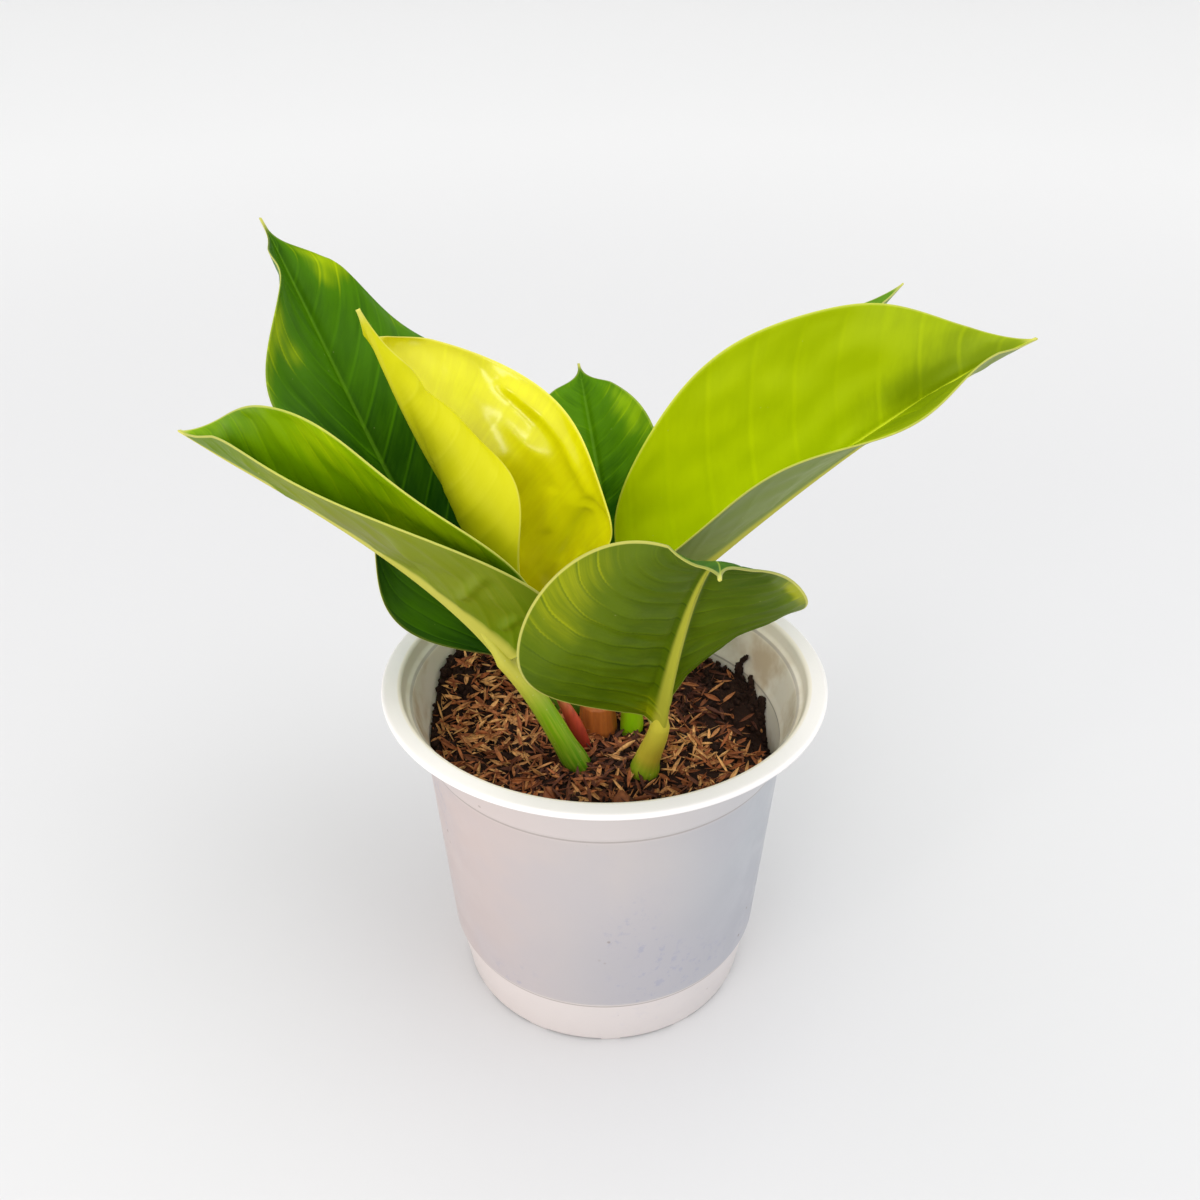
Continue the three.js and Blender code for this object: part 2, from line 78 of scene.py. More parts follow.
# Potting mix: a level with a heap at the back left and a hollow at the right wall
MIX_LEVEL = 111.0
MIX_FLOOR = 4.0
MIX_DEPTHS = (6.0, 20.0, 60.0, 106.0)  # rings under its edge
HEAP = {"at": (-62, 36), "spread": (28, 26), "rise": 14}
HOLLOW = {"at": (70, 2), "spread": (16, 16), "rise": -16}
MIX_RELIEF = 1.1
MIX_WAVES = [(0.31, 1.3, 0.17), (0.37, 1.7, 0.13)]  # pace, bend, pace of the bend
MIX_CALM = (3, 11)
CRUMB = {"size": 5, "height": 1.6, "grain": (0.7, 2.1, 4)}
MIX_GRID = {"rings": 110, "around": 300}

# What lies on the mix. Bare and pale places are (x and y, reach, amount)
HUSK = {"count": 2700, "seed": 11, "length": 7.7, "width": 1.75, "patch": 17,
        "rows": 6, "side": 5, "inside": 0.72}
LUMPS = {
    "count": 900, "size": 1.5, "edge_count": 500, "bank_count": 300, "bank_angles": (22, 13), "bank_rise": 3,
}
FLAKES = {"at": [(29, -28), (50, -19), (-20, -44), (6, -48), (-52, 4)], "size": (4.4, 3.4, 0.5),
          "tilt": 0.8, "tone": 0.25}
# Scraps of compost on the wall, each a curve through (angle, height)
SCRAPS = [
    [(32, 108), (36, 115), (31, 122)], [(33.5, 108), (31, 113), (33, 117)],
    [(25, 106), (23, 112), (26, 116)], [(15, 106), (14, 110), (16, 113)],
]
BARE_PLACES = [((62, 4), 17, 0.97), ((-14, -60), 12, 0.6), ((50, 30), 16, 0.6), ((8, -62), 8, 0.5)]
PALE_PLACES = [((38, -14), 15, 0.5), ((0, -30), 14, -0.12), ((-50, 6), 24, 0.5), ((38, 26), 18, -0.3)]

# The short stem, the red sheath beside it and the stalks
STEM = {"at": (-2.5, 1.5), "radius": 7.5, "neck": 6.6, "top": 124}
SHEATH = {"foot": (-8.6, -12), "root": (-5.4, -11.6), "tip": (-21, -11.5, 141), "radius": 2.9}
STALK = {"rows": 70, "around": 36, "in_blade": 16, "foot_swell": 0.12}

# Blades: thickness at midrib and margin, grid, and the outline's and curl's small limits
BLADE = {"thick": 0.8, "edge": 0.65, "rows": 160, "columns": 44}
RIB = {"depth": 1.6, "depth_power": 1.3, "width": 0.85, "width_power": 1.1, "least": 0.4}
LEAST_WIDTH = {"base": 0.05, "middle": 0.02, "tip": 0.005}
NARROW = 14.0
LEAST_CURL = 0.4
WAVE_WIDTH = 0.3
RIPPLE = {"height": 0.5, "length": 16, "width": 9, "seed": 4.5}
SPINE_STEPS = 1600

# The leaves: triples run from base to tip. A half's tip and calm are optional shares of the length:
# where it starts to narrow and how much, and where its wave fades out.
LEAVES = {
    "leaf_front": {
        "base": (18, -30.5, 138.5), "length": 161, "heading": -67, "turn": -29,
        "rise": (75, 51, 10), "roll": (7, 3, 0), "fold": (12, -21, -5), "widest": 0.38,
        "left": {"width": 39, "curl": (28, 21, -9), "round": 1.3, "point": 2.05, "wave": (1.5, 2.1, -0.15)},
        "right": {"width": 55, "curl": (-25, 45, 59), "round": 1.1, "point": 1.8, "wave": (3.5, 1.4, 0.3)},
        "foot": (15.2, -27), "root": (13, -26.6), "stalk": (5, 3.6),
    },
    "leaf_left": {
        "base": (-33, -22, 159.5), "length": 159, "heading": 179, "turn": -42,
        "rise": (52, 24, 2), "roll": (-16, -31, 8), "fold": (79, 70, 47), "widest": 0.32,
        "left": {"width": 49, "curl": (8, 15, 23), "round": 0.25, "point": 1.7, "wave": (-1.5, 1.4, -0.4)},
        "right": {"width": 50, "curl": (31, 23, 5), "round": 0.65, "point": 1.35, "wave": (1, 2.5, -0.6)},
        "foot": (-11.2, -22), "root": (-4.2, -21.4), "stalk": (4.6, 3.6),
    },
    "leaf_back_left": {
        "base": (-37.5, 20, 134), "length": 197, "heading": 161, "turn": -34,
        "rise": (43, 58, 38), "roll": (-13, -6, 22), "fold": (8, 26, 29), "widest": 0.48,
        "left": {"width": 54, "curl": (25, 20, 5), "round": 0.7, "point": 1.15, "wave": (-9, 2.2, -0.15),
                 "tip": (0.85, 0.95), "calm": (0.8, 0.92)},
        "right": {"width": 53, "curl": (26, -17, -43), "round": 0.55, "point": 1.3, "wave": (9, 2.2, 0.2),
                  "tip": (0.85, 0.95)},
        "foot": (-14, 12), "root": (-9.5, 11), "stalk": (4.6, 3.6),
    },
    "leaf_young_gold": {
        "base": (-22, -1, 168), "length": 128, "heading": 179, "turn": 12,
        "rise": (49, 65, 69), "roll": (-58, -33, 85), "fold": (34, 14, 26), "widest": 0.24,
        "left": {"width": 37, "curl": (31, 184, 215), "round": 0.7, "point": 0.8, "wave": (-4.5, 2, 0.5),
                 "tip": (0.5, 0.9), "calm": (0.45, 0.7)},
        "right": {"width": 58, "curl": (66, 87, 79), "round": 0.55, "point": 0.85, "wave": (0.5, 2.7, 2.3),
                  "tip": (0.8, 0.9)},
        "foot": (-3, 2), "root": (-3, 2), "stalk": (4.2, 3.2), "on_stem": True,
    },
    "leaf_back": {
        "base": (3, 26, 159.5), "length": 105, "heading": 100, "turn": 0,
        "rise": (67, 35, 33), "roll": (2, -12, -3), "fold": (24, 27, 17), "widest": 0.42,
        "left": {"width": 38, "curl": (10, 10, 10), "round": 0.55, "point": 1.4, "wave": (0, 2, 0),
                 "tip": (0.84, 0.85)},
        "right": {"width": 30, "curl": (10, 10, 10), "round": 0.55, "point": 1.15, "wave": (0, 2, 0),
                  "tip": (0.84, 0.85)},
        "foot": (1, 18), "root": (0.5, 15.5), "stalk": (3.8, 2.8),
    },
    "leaf_right": {
        "base": (15, 4.5, 166.5), "length": 184, "heading": 14, "turn": 14,
        "rise": (36, 29, 11), "roll": (8, 16, 3), "fold": (63, 53, 36), "widest": 0.4,
        "left": {"width": 62, "curl": (22, 31, 2), "round": 0.45, "point": 1.5, "wave": (3, 2, 0.05)},
        "right": {"width": 48, "curl": (9, -1, 2), "round": 0.55, "point": 1.25, "wave": (-3.5, 2.1, 0.05)},
        "foot": (10.8, 0), "root": (10.4, 0), "stalk": (4.2, 3.4),
    },
    "leaf_right_back": {
        "base": (35.5, 50, 164), "length": 152, "heading": 40, "turn": 0,
        "rise": (58, 33, 29), "roll": (2, -9, -28), "fold": (19, 27, 17), "widest": 0.42,
        "left": {"width": 35, "curl": (10, 10, 10), "round": 0.55, "point": 1.35, "wave": (0, 2, 0)},
        "right": {"width": 42, "curl": (10, 10, 10), "round": 0.55, "point": 1.35, "wave": (0, 2, 0)},
        "foot": (14, 13.5), "root": (12, 11.5), "stalk": (4.2, 3.2),
    },
}


# Small helpers

def paint(red, green, blue):
    """A colour given as it looks on screen, 0 to 255, as the linear colour that Blender takes."""
    def linear(value):
        share = value / 255
        return share / 12.92 if share <= 0.04045 else ((share + 0.055) / 1.055) ** 2.4
    return (linear(red), linear(green), linear(blue), 1.0)


def smoothstep(low, high, value):
    share = np.clip((value - low) / (high - low), 0, 1)
    return share * share * (3 - 2 * share)


def quadratic(values, s):
    """A quadratic curve through three values at 0, a half and 1."""
    a, b, c = values
    return a * (1 - s) * (1 - 2 * s) + b * 4 * s * (1 - s) + c * s * (2 * s - 1)


def unit(vectors):
    return vectors / np.linalg.norm(vectors, axis=-1, keepdims=True)


def grid_faces(rows, columns, first=0, wrap=False, flip=False):
    """Quads of a grid of points, row after row. wrap joins the last column to the first."""
    row, column = np.meshgrid(np.arange(rows - 1), np.arange(columns - (0 if wrap else 1)), indexing="ij")
    across = (column + 1) % columns
    corners = [row * columns + column, row * columns + across]
    corners += [(row + 1) * columns + across, (row + 1) * columns + column]
    faces = np.stack(corners, axis=-1).reshape(-1, 4) + first
    return faces[:, ::-1] if flip else faces


def tube_faces(rows, around, first=0):
    """Faces of rings of points joined to a tube, with both ends closed."""
    faces = [*grid_faces(rows, around, first=first, wrap=True)]
    start, end = first, first + (rows - 1) * around
    return faces + [list(range(start, start + around))[::-1], list(range(end, end + around))]


def make_piece(name, points, faces, materials, slots=None, marks=None):
    """A smooth mesh from millimetre points. slots are material numbers by face, marks are values by point."""
    mesh = bpy.data.meshes.new(name)
    mesh.from_pydata((np.asarray(points, float) * MM).tolist(), [], [list(map(int, face)) for face in faces])
    for material in materials:
        mesh.materials.append(material)
    mesh.polygons.foreach_set("use_smooth", [True] * len(mesh.polygons))
    if slots is not None:
        mesh.polygons.foreach_set("material_index", np.asarray(slots, np.int32))
    for mark, values in (marks or {}).items():
        layer = mesh.attributes.new(mark, "FLOAT", "POINT")
        layer.data.foreach_set("value", np.asarray(values, np.float32))
    mesh.update()
    piece = bpy.data.objects.new(name, mesh)
    bpy.context.scene.collection.objects.link(piece)
    return piece


def dress(piece, node):
    """The piece stands for a CAD node, which it hides, and rides with the plant."""
    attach(piece, "root")
    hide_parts(node)


# Materials

class Shader:
    """The nodes of one material, made and joined by short calls."""

    def __init__(self, name, **sockets):
        self.material = bpy.data.materials.new(name)
        self.material.use_nodes = True
        self.tree = self.material.node_tree
        self.surface = self.tree.nodes["Principled BSDF"]
        for socket, value in sockets.items():
            self.surface.inputs[socket.replace("_", " ")].default_value = value

    def node(self, kind, inputs, output=0, **settings):
        made = self.tree.nodes.new("ShaderNode" + kind)
        for setting, value in settings.items():
            setattr(made, setting, value)
        for key, value in inputs.items():
            self.feed(made.inputs[key], value)
        return made.outputs[output]

    def feed(self, socket, value):
        if isinstance(value, bpy.types.NodeSocket):
            self.tree.links.new(value, socket)
        else:
            socket.default_value = value

    def set(self, socket, value):
        self.feed(self.surface.inputs[socket], value)

    def mark(self, name):
        return self.node("Attribute", {}, output=2, attribute_name=name)

    def place(self):
        return self.node("TexCoord", {}, output=3)

    def math(self, operation, a, b=0.0):
        return self.node("Math", {0: a, 1: b}, operation=operation)

    def add(self, a, b):
        return self.math("ADD", a, b)

    def times(self, a, b):
        return self.math("MULTIPLY", a, b)

    def rise(self, value, low, high, bottom=0.0, top=1.0):
        """Smoothly from bottom to top as value goes from low to high, and level outside."""
        inputs = {"Value": value, "From Min": low, "From Max": high, "To Min": bottom, "To Max": top}
        return self.node("MapRange", inputs, interpolation_type="SMOOTHSTEP")

    def cover(self, mask, colour):
        """Lays a colour over the running colour where the mask is 1."""
        inputs = {0: mask, 6: self.colour, 7: paint(*colour)}
        self.colour = self.node("Mix", inputs, output=2, data_type="RGBA")

    def noise(self, vector, scale, detail=2.0, roughness=0.5):
        inputs = {"Vector": vector, "Scale": scale, "Detail": detail, "Roughness": roughness}
        return self.node("TexNoise", inputs)

    def cells(self, vector, scale):
        return self.node("TexVoronoi", {"Vector": vector, "Scale": scale})

    def join(self, x, y, z):
        return self.node("CombineXYZ", {0: x, 1: y, 2: z})

    def split(self, vector):
        made = self.tree.nodes.new("ShaderNodeSeparateXYZ")
        self.feed(made.inputs[0], vector)
        return made.outputs

    def bump(self, height, distance, strength=1.0):
        """Relief from a height of 0 to 1, distance millimetres high."""
        inputs = {"Height": height, "Distance": distance * MM, "Strength": strength}
        self.set("Normal", self.node("Bump", inputs))


# Pot

def rounded(outline, reach):
    """The outline with each inner corner cut by a small curve that starts reach from the corner."""
    points = [np.array(p, float) for p in outline]
    curve = [points[0]]
    for before, corner, after in zip(points, points[1:], points[2:]):
        back, ahead = before - corner, after - corner
        start = corner + back * min(reach / np.linalg.norm(back), 0.45)
        end = corner + ahead * min(reach / np.linalg.norm(ahead), 0.45)
        for t in (0, 0.33, 0.67, 1):
            curve.append(start * (1 - t) ** 2 + corner * 2 * t * (1 - t) + end * t * t)
    curve.append(points[-1])
    return np.array(curve)


def pot_material():
    shader = Shader("pot_plastic", Roughness=0.38, IOR=1.46, Specular_IOR_Level=0.5)
    place = shader.place()
    inside = shader.mark("inside")
    height = shader.times(shader.split(place)[2], 1 / MM)
    side = shader.times(shader.split(place)[0], 1 / MM)
    # Painted light and shade: walls greyer than the white flange, warm and lighter on the left, bluer and
    # darker on the right, and painted shade low down
    shader.colour = paint(204, 188, 184)
    shader.cover(shader.rise(side, -60, 0), (198, 191, 190))
    shader.cover(shader.rise(side, 0, 60), (182, 185, 191))
    # Painted shade: darker low down, most on the right
    painted_low_shade = shader.times(shader.rise(height, 100, 45), shader.rise(side, -40, 15, 0.15, 0.6))
    shader.cover(painted_low_shade, (171, 171, 180))
    # Cloudy patches with fine scuffs in them
    cloudy = shader.rise(shader.noise(place, 22, 3), 0.42, 0.62)
    shader.cover(shader.times(cloudy, 0.3), (185, 182, 189))
    scuffs = shader.times(shader.rise(shader.noise(place, 260, 4, 0.7), 0.54, 0.66), cloudy)
    scuffs = shader.times(scuffs, shader.rise(shader.noise(place, 12, 1), 0.45, 0.55))
    shader.cover(shader.times(scuffs, 0.45), (154, 156, 180))
    # Paler skirt and collar, white flange with none of the walls' painted shade, stained inside
    paler = shader.add(shader.rise(height, 27, 24, 0, 0.66), shader.rise(height, 112, 116, 0, 0.25))
    shader.cover(paler, (240, 230, 225))
    upper = shader.rise(height, 131.5, 134)
    shader.cover(upper, (253, 249, 248))
    shader.cover(inside, (252, 244, 231))
    stain = shader.times(shader.rise(shader.noise(place, 30, 4, 0.6), 0.44, 0.64), inside)
    stain = shader.times(stain, shader.rise(height, 136, 130))
    shader.cover(shader.times(stain, 0.8), (206, 182, 150))
    # Seams and specks of mix
    for seam in POT_SEAMS:
        line = shader.rise(shader.math("ABSOLUTE", shader.math("SUBTRACT", height, seam)), 0.6, 0.2)
        shader.cover(shader.times(line, 0.6), (150, 138, 132))
    specks = shader.rise(shader.cells(place, 120), 0.1, 0.05)
    patches = shader.rise(shader.noise(place, 14, 2), 0.52, 0.6)
    specks = shader.times(specks, patches)
    shader.cover(shader.times(specks, 0.8), (112, 84, 66))
    shader.set("Base Color", shader.colour)
    shader.set("Roughness", shader.rise(shader.noise(place, 60, 3), 0.3, 0.7, 0.3, 0.46))
    shader.bump(shader.noise(place, 170, 3), 0.12)
    return shader.material


def make_pot():
    outline = [(0, 0)] + POT_OUTSIDE + POT_INSIDE + [(0, POT_INSIDE[-1][1])]
    profile = rounded(outline, POT_CORNER)
    profile[[0, -1], 0] = POT_AXIS
    lip = np.argmax(profile[:, 1])
    angle = np.linspace(0, 2 * np.pi, POT_AROUND, endpoint=False)
    radius, height = profile[:, 0, None], profile[:, 1, None]
    points = np.stack([radius * np.cos(angle), radius * np.sin(angle), height + 0 * angle], axis=-1)
    rings = len(profile)
    inside = np.repeat(np.arange(rings) > lip, POT_AROUND)
    faces = tube_faces(rings, POT_AROUND)
    marks = {"inside": inside}
    pot = make_piece("pot_detail", points.reshape(-1, 3), faces, [pot_material()], marks=marks)
    for number in range(DRAINS["count"]):
        turn = math.radians(DRAINS["first"] + 360 * number / DRAINS["count"])
        drill(pot, DRAINS["radius"] * math.cos(turn), DRAINS["radius"] * math.sin(turn))
    settle(pot)
    return join_feet(pot)


def drill(pot, x, y):
    """A drain hole through the base plate."""
    radius, depth = DRAINS["hole"] * MM, DRAINS["height"] * MM
    bpy.ops.mesh.primitive_cylinder_add(vertices=DRAINS["sides"], radius=radius, depth=depth)
    cutter = bpy.context.object
    cutter.location = (x * MM, y * MM, DRAINS["middle"] * MM)
    cut = pot.modifiers.new("drain", "BOOLEAN")
    cut.object = cutter
    cut.solver = "EXACT"


def settle(piece):
    """Turns the piece's modifiers into mesh and removes the cutters that they used."""
    cutters = [modifier.object for modifier in piece.modifiers if modifier.type == "BOOLEAN"]
    evaluated = piece.evaluated_get(bpy.context.evaluated_depsgraph_get())
    piece.data = bpy.data.meshes.new_from_object(evaluated)
    piece.modifiers.clear()
    for cutter in cutters:
        bpy.data.objects.remove(cutter)


def join_feet(pot):
    """Small bevelled feet under the edge, sunk into the base plate."""
    feet = []
    for number in range(FEET["count"]):
        bpy.ops.mesh.primitive_cube_add(size=1)
        foot = bpy.context.object
        foot.data.transform(scaling(FEET["depth"], FEET["width"], FEET["height"]))
        turn = math.radians(FEET["first"] + 360 * number / FEET["count"])
        foot.rotation_euler = (0, 0, turn)
        x, y = FEET["radius"] * math.cos(turn), FEET["radius"] * math.sin(turn)
        foot.location = (x * MM, y * MM, FEET["height"] / 2 * MM)
        bevel = foot.modifiers.new("bevel", "BEVEL")
        bevel.width = FEET["bevel"] * MM
        bevel.segments = 2
        bpy.context.view_layer.update()
        settle(foot)
        foot.data.materials.append(pot.data.materials[0])
        feet.append(foot)
    with bpy.context.temp_override(active_object=pot, selected_editable_objects=[pot, *feet]):
        bpy.ops.object.join()
    return pot


def scaling(x, y, z):
    """A size in millimetres, as a matrix."""
    return Matrix.Diagonal((x * MM, y * MM, z * MM, 1))


# Potting mix

def stalk_feet():
    """Place and radius of everything that grows out of the mix."""
    feet = [(STEM["at"], STEM["radius"]), (SHEATH["foot"], SHEATH["radius"])]
    return feet + [(leaf["foot"], leaf["stalk"][0]) for leaf in LEAVES.values()]


def nearest_stalk(x, y):
    return np.min([np.hypot(x - at[0], y - at[1]) - radius for at, radius in stalk_feet()], axis=0)


def bump_height(bump, x, y):
    far = ((x - bump["at"][0]) / bump["spread"][0]) ** 2 + ((y - bump["at"][1]) / bump["spread"][1]) ** 2
    return bump["rise"] * np.exp(-far)


def mix_height(x, y):
    """Height of the mix, as in the part's source."""
    rough = smoothstep(*MIX_CALM, nearest_stalk(x, y))
    waves = 0
    for (pace, bend, bend_pace), along, across in zip(MIX_WAVES, (x, y), (y, x)):
        waves = waves + np.sin(along * pace + bend * np.sin(across * bend_pace))
    return MIX_LEVEL + bump_height(HEAP, x, y) + bump_height(HOLLOW, x, y) + rough * MIX_RELIEF * waves / 2


def wall_radius(z):
    """Radius of the pot's inside at a height."""
    heights = [p[1] for p in POT_INSIDE[::-1]]
    return np.interp(z, heights, [p[0] for p in POT_INSIDE[::-1]])


def edge_height(angle):
    """Height at which the mix meets the pot's wall."""
    height = np.full(np.shape(angle), MIX_LEVEL)
    for _ in range(8):
        radius = wall_radius(height) - 0.1
        height = mix_height(radius * np.cos(angle), radius * np.sin(angle))
    return height


def crumbs(x, y):
    """Lumps and grain of the compost, in millimetres."""
    places = zip(np.ravel(x), np.ravel(y))
    size, height = CRUMB["size"], CRUMB["height"]
    values = [height * noise.fractal(Vector((a / size, b / size, 0)), *CRUMB["grain"]) for a, b in places]
    return np.reshape(values, np.shape(x))


def make_mix_body():
    """Points and faces of the compost: its rough top, and sides that follow the pot."""
    rings, around = MIX_GRID["rings"], MIX_GRID["around"]
    angle = np.linspace(0, 2 * np.pi, around, endpoint=False)
    wall_height = edge_height(angle)
    share = np.linspace(0, 1, rings)[:, None]
    radius = (wall_radius(wall_height) - 0.1) * np.maximum(share, 0.002)
    x, y = radius * np.cos(angle), radius * np.sin(angle)
    z = mix_height(x, y) + crumbs(x, y)
    top = np.stack([x, y, z], axis=-1)
    sides = []
    for depth in MIX_DEPTHS:
        level = np.maximum(wall_height - depth, MIX_FLOOR)
        side = wall_radius(level) - 0.3
        sides.append(np.stack([side * np.cos(angle), side * np.sin(angle), level], axis=-1))
    points = np.concatenate([top, np.array(sides)]).reshape(-1, 3)
    rows = rings + len(sides)
    return points, [face[::-1] for face in tube_faces(rows, around)]


def make_husk_shape():
    """A split husk as an open boat with thick walls: keeled, pointed at both ends, one unit long."""
    rows, side = HUSK["rows"], HUSK["side"]
    points, faces = [], []
    for skin in (1.0, HUSK["inside"]):
        for row in range(rows):
            s = row / (rows - 1)
            half = 0.5 * (math.sin(math.pi * min(max(s, 0.02), 0.98)) ** 0.7)
            for k in range(side):
                turn = math.pi * k / (side - 1)
                height = -half * skin * math.sin(turn) + 0.12 * (skin - 1) + 0.18 * math.sin(math.pi * s)
                points.append((s - 0.5, half * skin * math.cos(turn), height))
    inner = rows * side
    faces += [*grid_faces(rows, side)] + [*grid_faces(rows, side, first=inner, flip=True)]
    for row in range(rows - 1):
        for k in (0, side - 1):
            a, b = row * side + k, (row + 1) * side + k
            rim = [a, b, b + inner, a + inner]
            faces.append(rim[::-1] if k else rim)
    for row in (0, rows - 1):
        for k in range(side - 1):
            a = row * side + k
            end = [a, a + inner, a + 1 + inner, a + 1]
            faces.append(end if row else end[::-1])
    return np.array(points), np.array(faces)


def turned(points, heading, pitch, roll):
    """Points turned round their length, then up or down, then round to a heading, all in radians."""
    x, y, z = points[..., 0], points[..., 1], points[..., 2]
    y, z = y * np.cos(roll) - z * np.sin(roll), y * np.sin(roll) + z * np.cos(roll)
    x, z = x * np.cos(pitch) + z * np.sin(pitch), z * np.cos(pitch) - x * np.sin(pitch)
    x, y = x * np.cos(heading) - y * np.sin(heading), x * np.sin(heading) + y * np.cos(heading)
    return np.stack([x, y, z], axis=-1)


def soft_places(places, x, y):
    """A field from soft round places on the ground, each (x and y, reach, amount)."""
    field = np.zeros(np.shape(x))
    for (px, py), reach, amount in places:
        field = field + amount * np.exp(-((x - px) ** 2 + (y - py) ** 2) / reach ** 2)
    return field


def scatter_husks(shape):
    """Points and tone of each husk on the mix, most lying flat and some standing between the others."""
    random, count = np.random.default_rng(HUSK["seed"]), HUSK["count"]
    reach = wall_radius(MIX_LEVEL) - 2.5
    radius = reach * np.sqrt(random.random(count))
    angle = random.random(count) * 2 * np.pi
    x, y = radius * np.cos(angle), radius * np.sin(angle)
    bare = random.random(count) < soft_places(BARE_PLACES, x, y)
    kept = ~bare & (nearest_stalk(x, y) > 0.8)
    x, y = x[kept], y[kept]
    total = len(x)
    length = random.normal(HUSK["length"], 1.0, total).clip(4.5, 9.5)
    width = HUSK["width"] * random.uniform(0.6, 1.15, total)
    sizes = np.stack([length, width, width * random.uniform(0.5, 0.9, total)], axis=-1)
    points = shape[None] * sizes[:, None]
    drift = [noise.noise(Vector((a, b, 0)) / HUSK["patch"]) for a, b in zip(x, y)]
    heading = np.array(drift) * 4 * np.pi + random.normal(0, 0.7, total)
    pitch = random.normal(0, 0.33, total).clip(-1.1, 1.1)
    roll = random.normal(0, 0.9, total)
    points = turned(points, heading[:, None], pitch[:, None], roll[:, None])
    lift = random.uniform(-0.5, 1.9, total) + np.abs(np.sin(pitch)) * length * 0.25
    height = mix_height(x, y) + crumbs(x, y) + lift
    points += np.stack([x, y, height], axis=-1)[:, None]
    distance = np.hypot(points[..., 0], points[..., 1])
    limit = wall_radius(points[..., 2]) - 0.3
    points[..., :2] *= np.minimum(1, limit / distance)[..., None]
    tone = random.random(total) ** 1.7 + soft_places(PALE_PLACES, x, y)
    return points, tone.clip(0, 1)


def make_husks(material):
    """The husks on the left and on the right of the plant, as two pieces."""
    shape, shape_faces = make_husk_shape()
    points, tone = scatter_husks(shape)
    on_left = points[..., 0].mean(axis=1) < 0
    for name, chosen in (("husks_left", on_left), ("husks_right", ~on_left)):
        first = np.arange(chosen.sum())[:, None, None] * len(shape)
        marks = {"tone": np.repeat(tone[chosen], len(shape))}
        faces = (shape_faces + first).reshape(-1, 4)
        husks = make_piece(name, points[chosen].reshape(-1, 3), faces, [material], marks=marks)
        dress(husks, "potting_mix")


def make_lumps(seed, places, size, tilt=6.3):
    """Small angular lumps of compost and bark at [x, y, z] places. size is one length or three."""
    random = np.random.default_rng(seed)
    ball = np.array([
        (math.cos(a) * math.cos(b), math.sin(a) * math.cos(b), math.sin(b))
        for b in (-1.2, -0.4, 0.4, 1.2) for a in np.linspace(0, 2 * np.pi, 6, endpoint=False)
    ])
    faces = tube_faces(4, 6)
    points, all_faces = [], []
    for number, place in enumerate(places):
        lump = ball * random.uniform(0.6, 1.3, ball.shape) * random.uniform(0.5, 1.2, 3) * size
        lump = turned(lump, *(random.random(3) * (6.3, tilt, tilt)))
        points.append(lump + place)
        all_faces += [[int(corner) + number * len(ball) for corner in face] for face in faces]
    return np.concatenate(points), all_faces


def mix_materials():
    compost = Shader("compost", Roughness=0.9, Specular_IOR_Level=0.25)
    place = compost.place()
    compost.colour = paint(18, 10, 8)
    compost.cover(compost.noise(place, 420, 4, 0.7), (68, 42, 31))
    fibres = compost.rise(compost.noise(place, 900, 3, 0.6), 0.6, 0.72)
    compost.cover(compost.times(fibres, 0.4), (128, 82, 54))
    compost.set("Base Color", compost.colour)
    compost.bump(compost.noise(place, 700, 5, 0.75), 1.2)

    husk = Shader("husk", Roughness=0.62, Specular_IOR_Level=0.35)
    place = husk.place()
    tone = husk.mark("tone")
    husk.colour = paint(86, 46, 31)
    husk.cover(husk.rise(tone, 0.0, 0.45), (186, 110, 62))
    husk.cover(husk.rise(tone, 0.45, 1.0), (252, 192, 120))
    shade = husk.rise(husk.noise(place, 520, 3), 0.35, 0.65)
    husk.cover(husk.times(shade, 0.45), (92, 48, 30))
    husk.set("Base Color", husk.colour)
    husk.bump(husk.noise(place, 1500, 3, 0.6), 0.25)
    return [compost.material, husk.material]


def lump_places():
    """Places for lumps of compost: over the ground, along its edge and in scraps that stick to the wall."""
    random = np.random.default_rng(HUSK["seed"] + 1)
    radius = (wall_radius(MIX_LEVEL) - 3) * np.sqrt(random.random(LUMPS["count"]))
    angle = random.random(LUMPS["count"]) * 2 * np.pi
    x, y = radius * np.cos(angle), radius * np.sin(angle)
    ground = np.stack([x, y, mix_height(x, y) + crumbs(x, y) + 0.4], axis=-1)
    ground = ground[nearest_stalk(x, y) > 1.5]
    angle = random.random(LUMPS["edge_count"]) * 2 * np.pi
    height = edge_height(angle) + random.uniform(-1.5, 2.2, LUMPS["edge_count"])
    edge = beside_wall(angle, height, random.uniform(1, 3.5, LUMPS["edge_count"]))
    angle = np.radians(random.normal(*LUMPS["bank_angles"], LUMPS["bank_count"]))
    height = edge_height(angle) - 2 + LUMPS["bank_rise"] * random.random(LUMPS["bank_count"]) ** 1.6
    bank = beside_wall(angle, height, random.uniform(0.8, 3, LUMPS["bank_count"]))
    steps = np.linspace(0, 1, 16)[:, None]
    scraps = [bezier([np.array(corner, float) for corner in path], steps) for path in SCRAPS]
    stuck = [beside_wall(np.radians(scrap[:, 0]), scrap[:, 1], 1.4) for scrap in scraps]
    return np.concatenate([ground, edge, bank, *stuck])


def beside_wall(angle, height, gap):
    """Places at a gap from the pot's inner wall."""
    radius = wall_radius(height) - gap
    return np.stack([radius * np.cos(angle), radius * np.sin(angle), height], axis=-1)


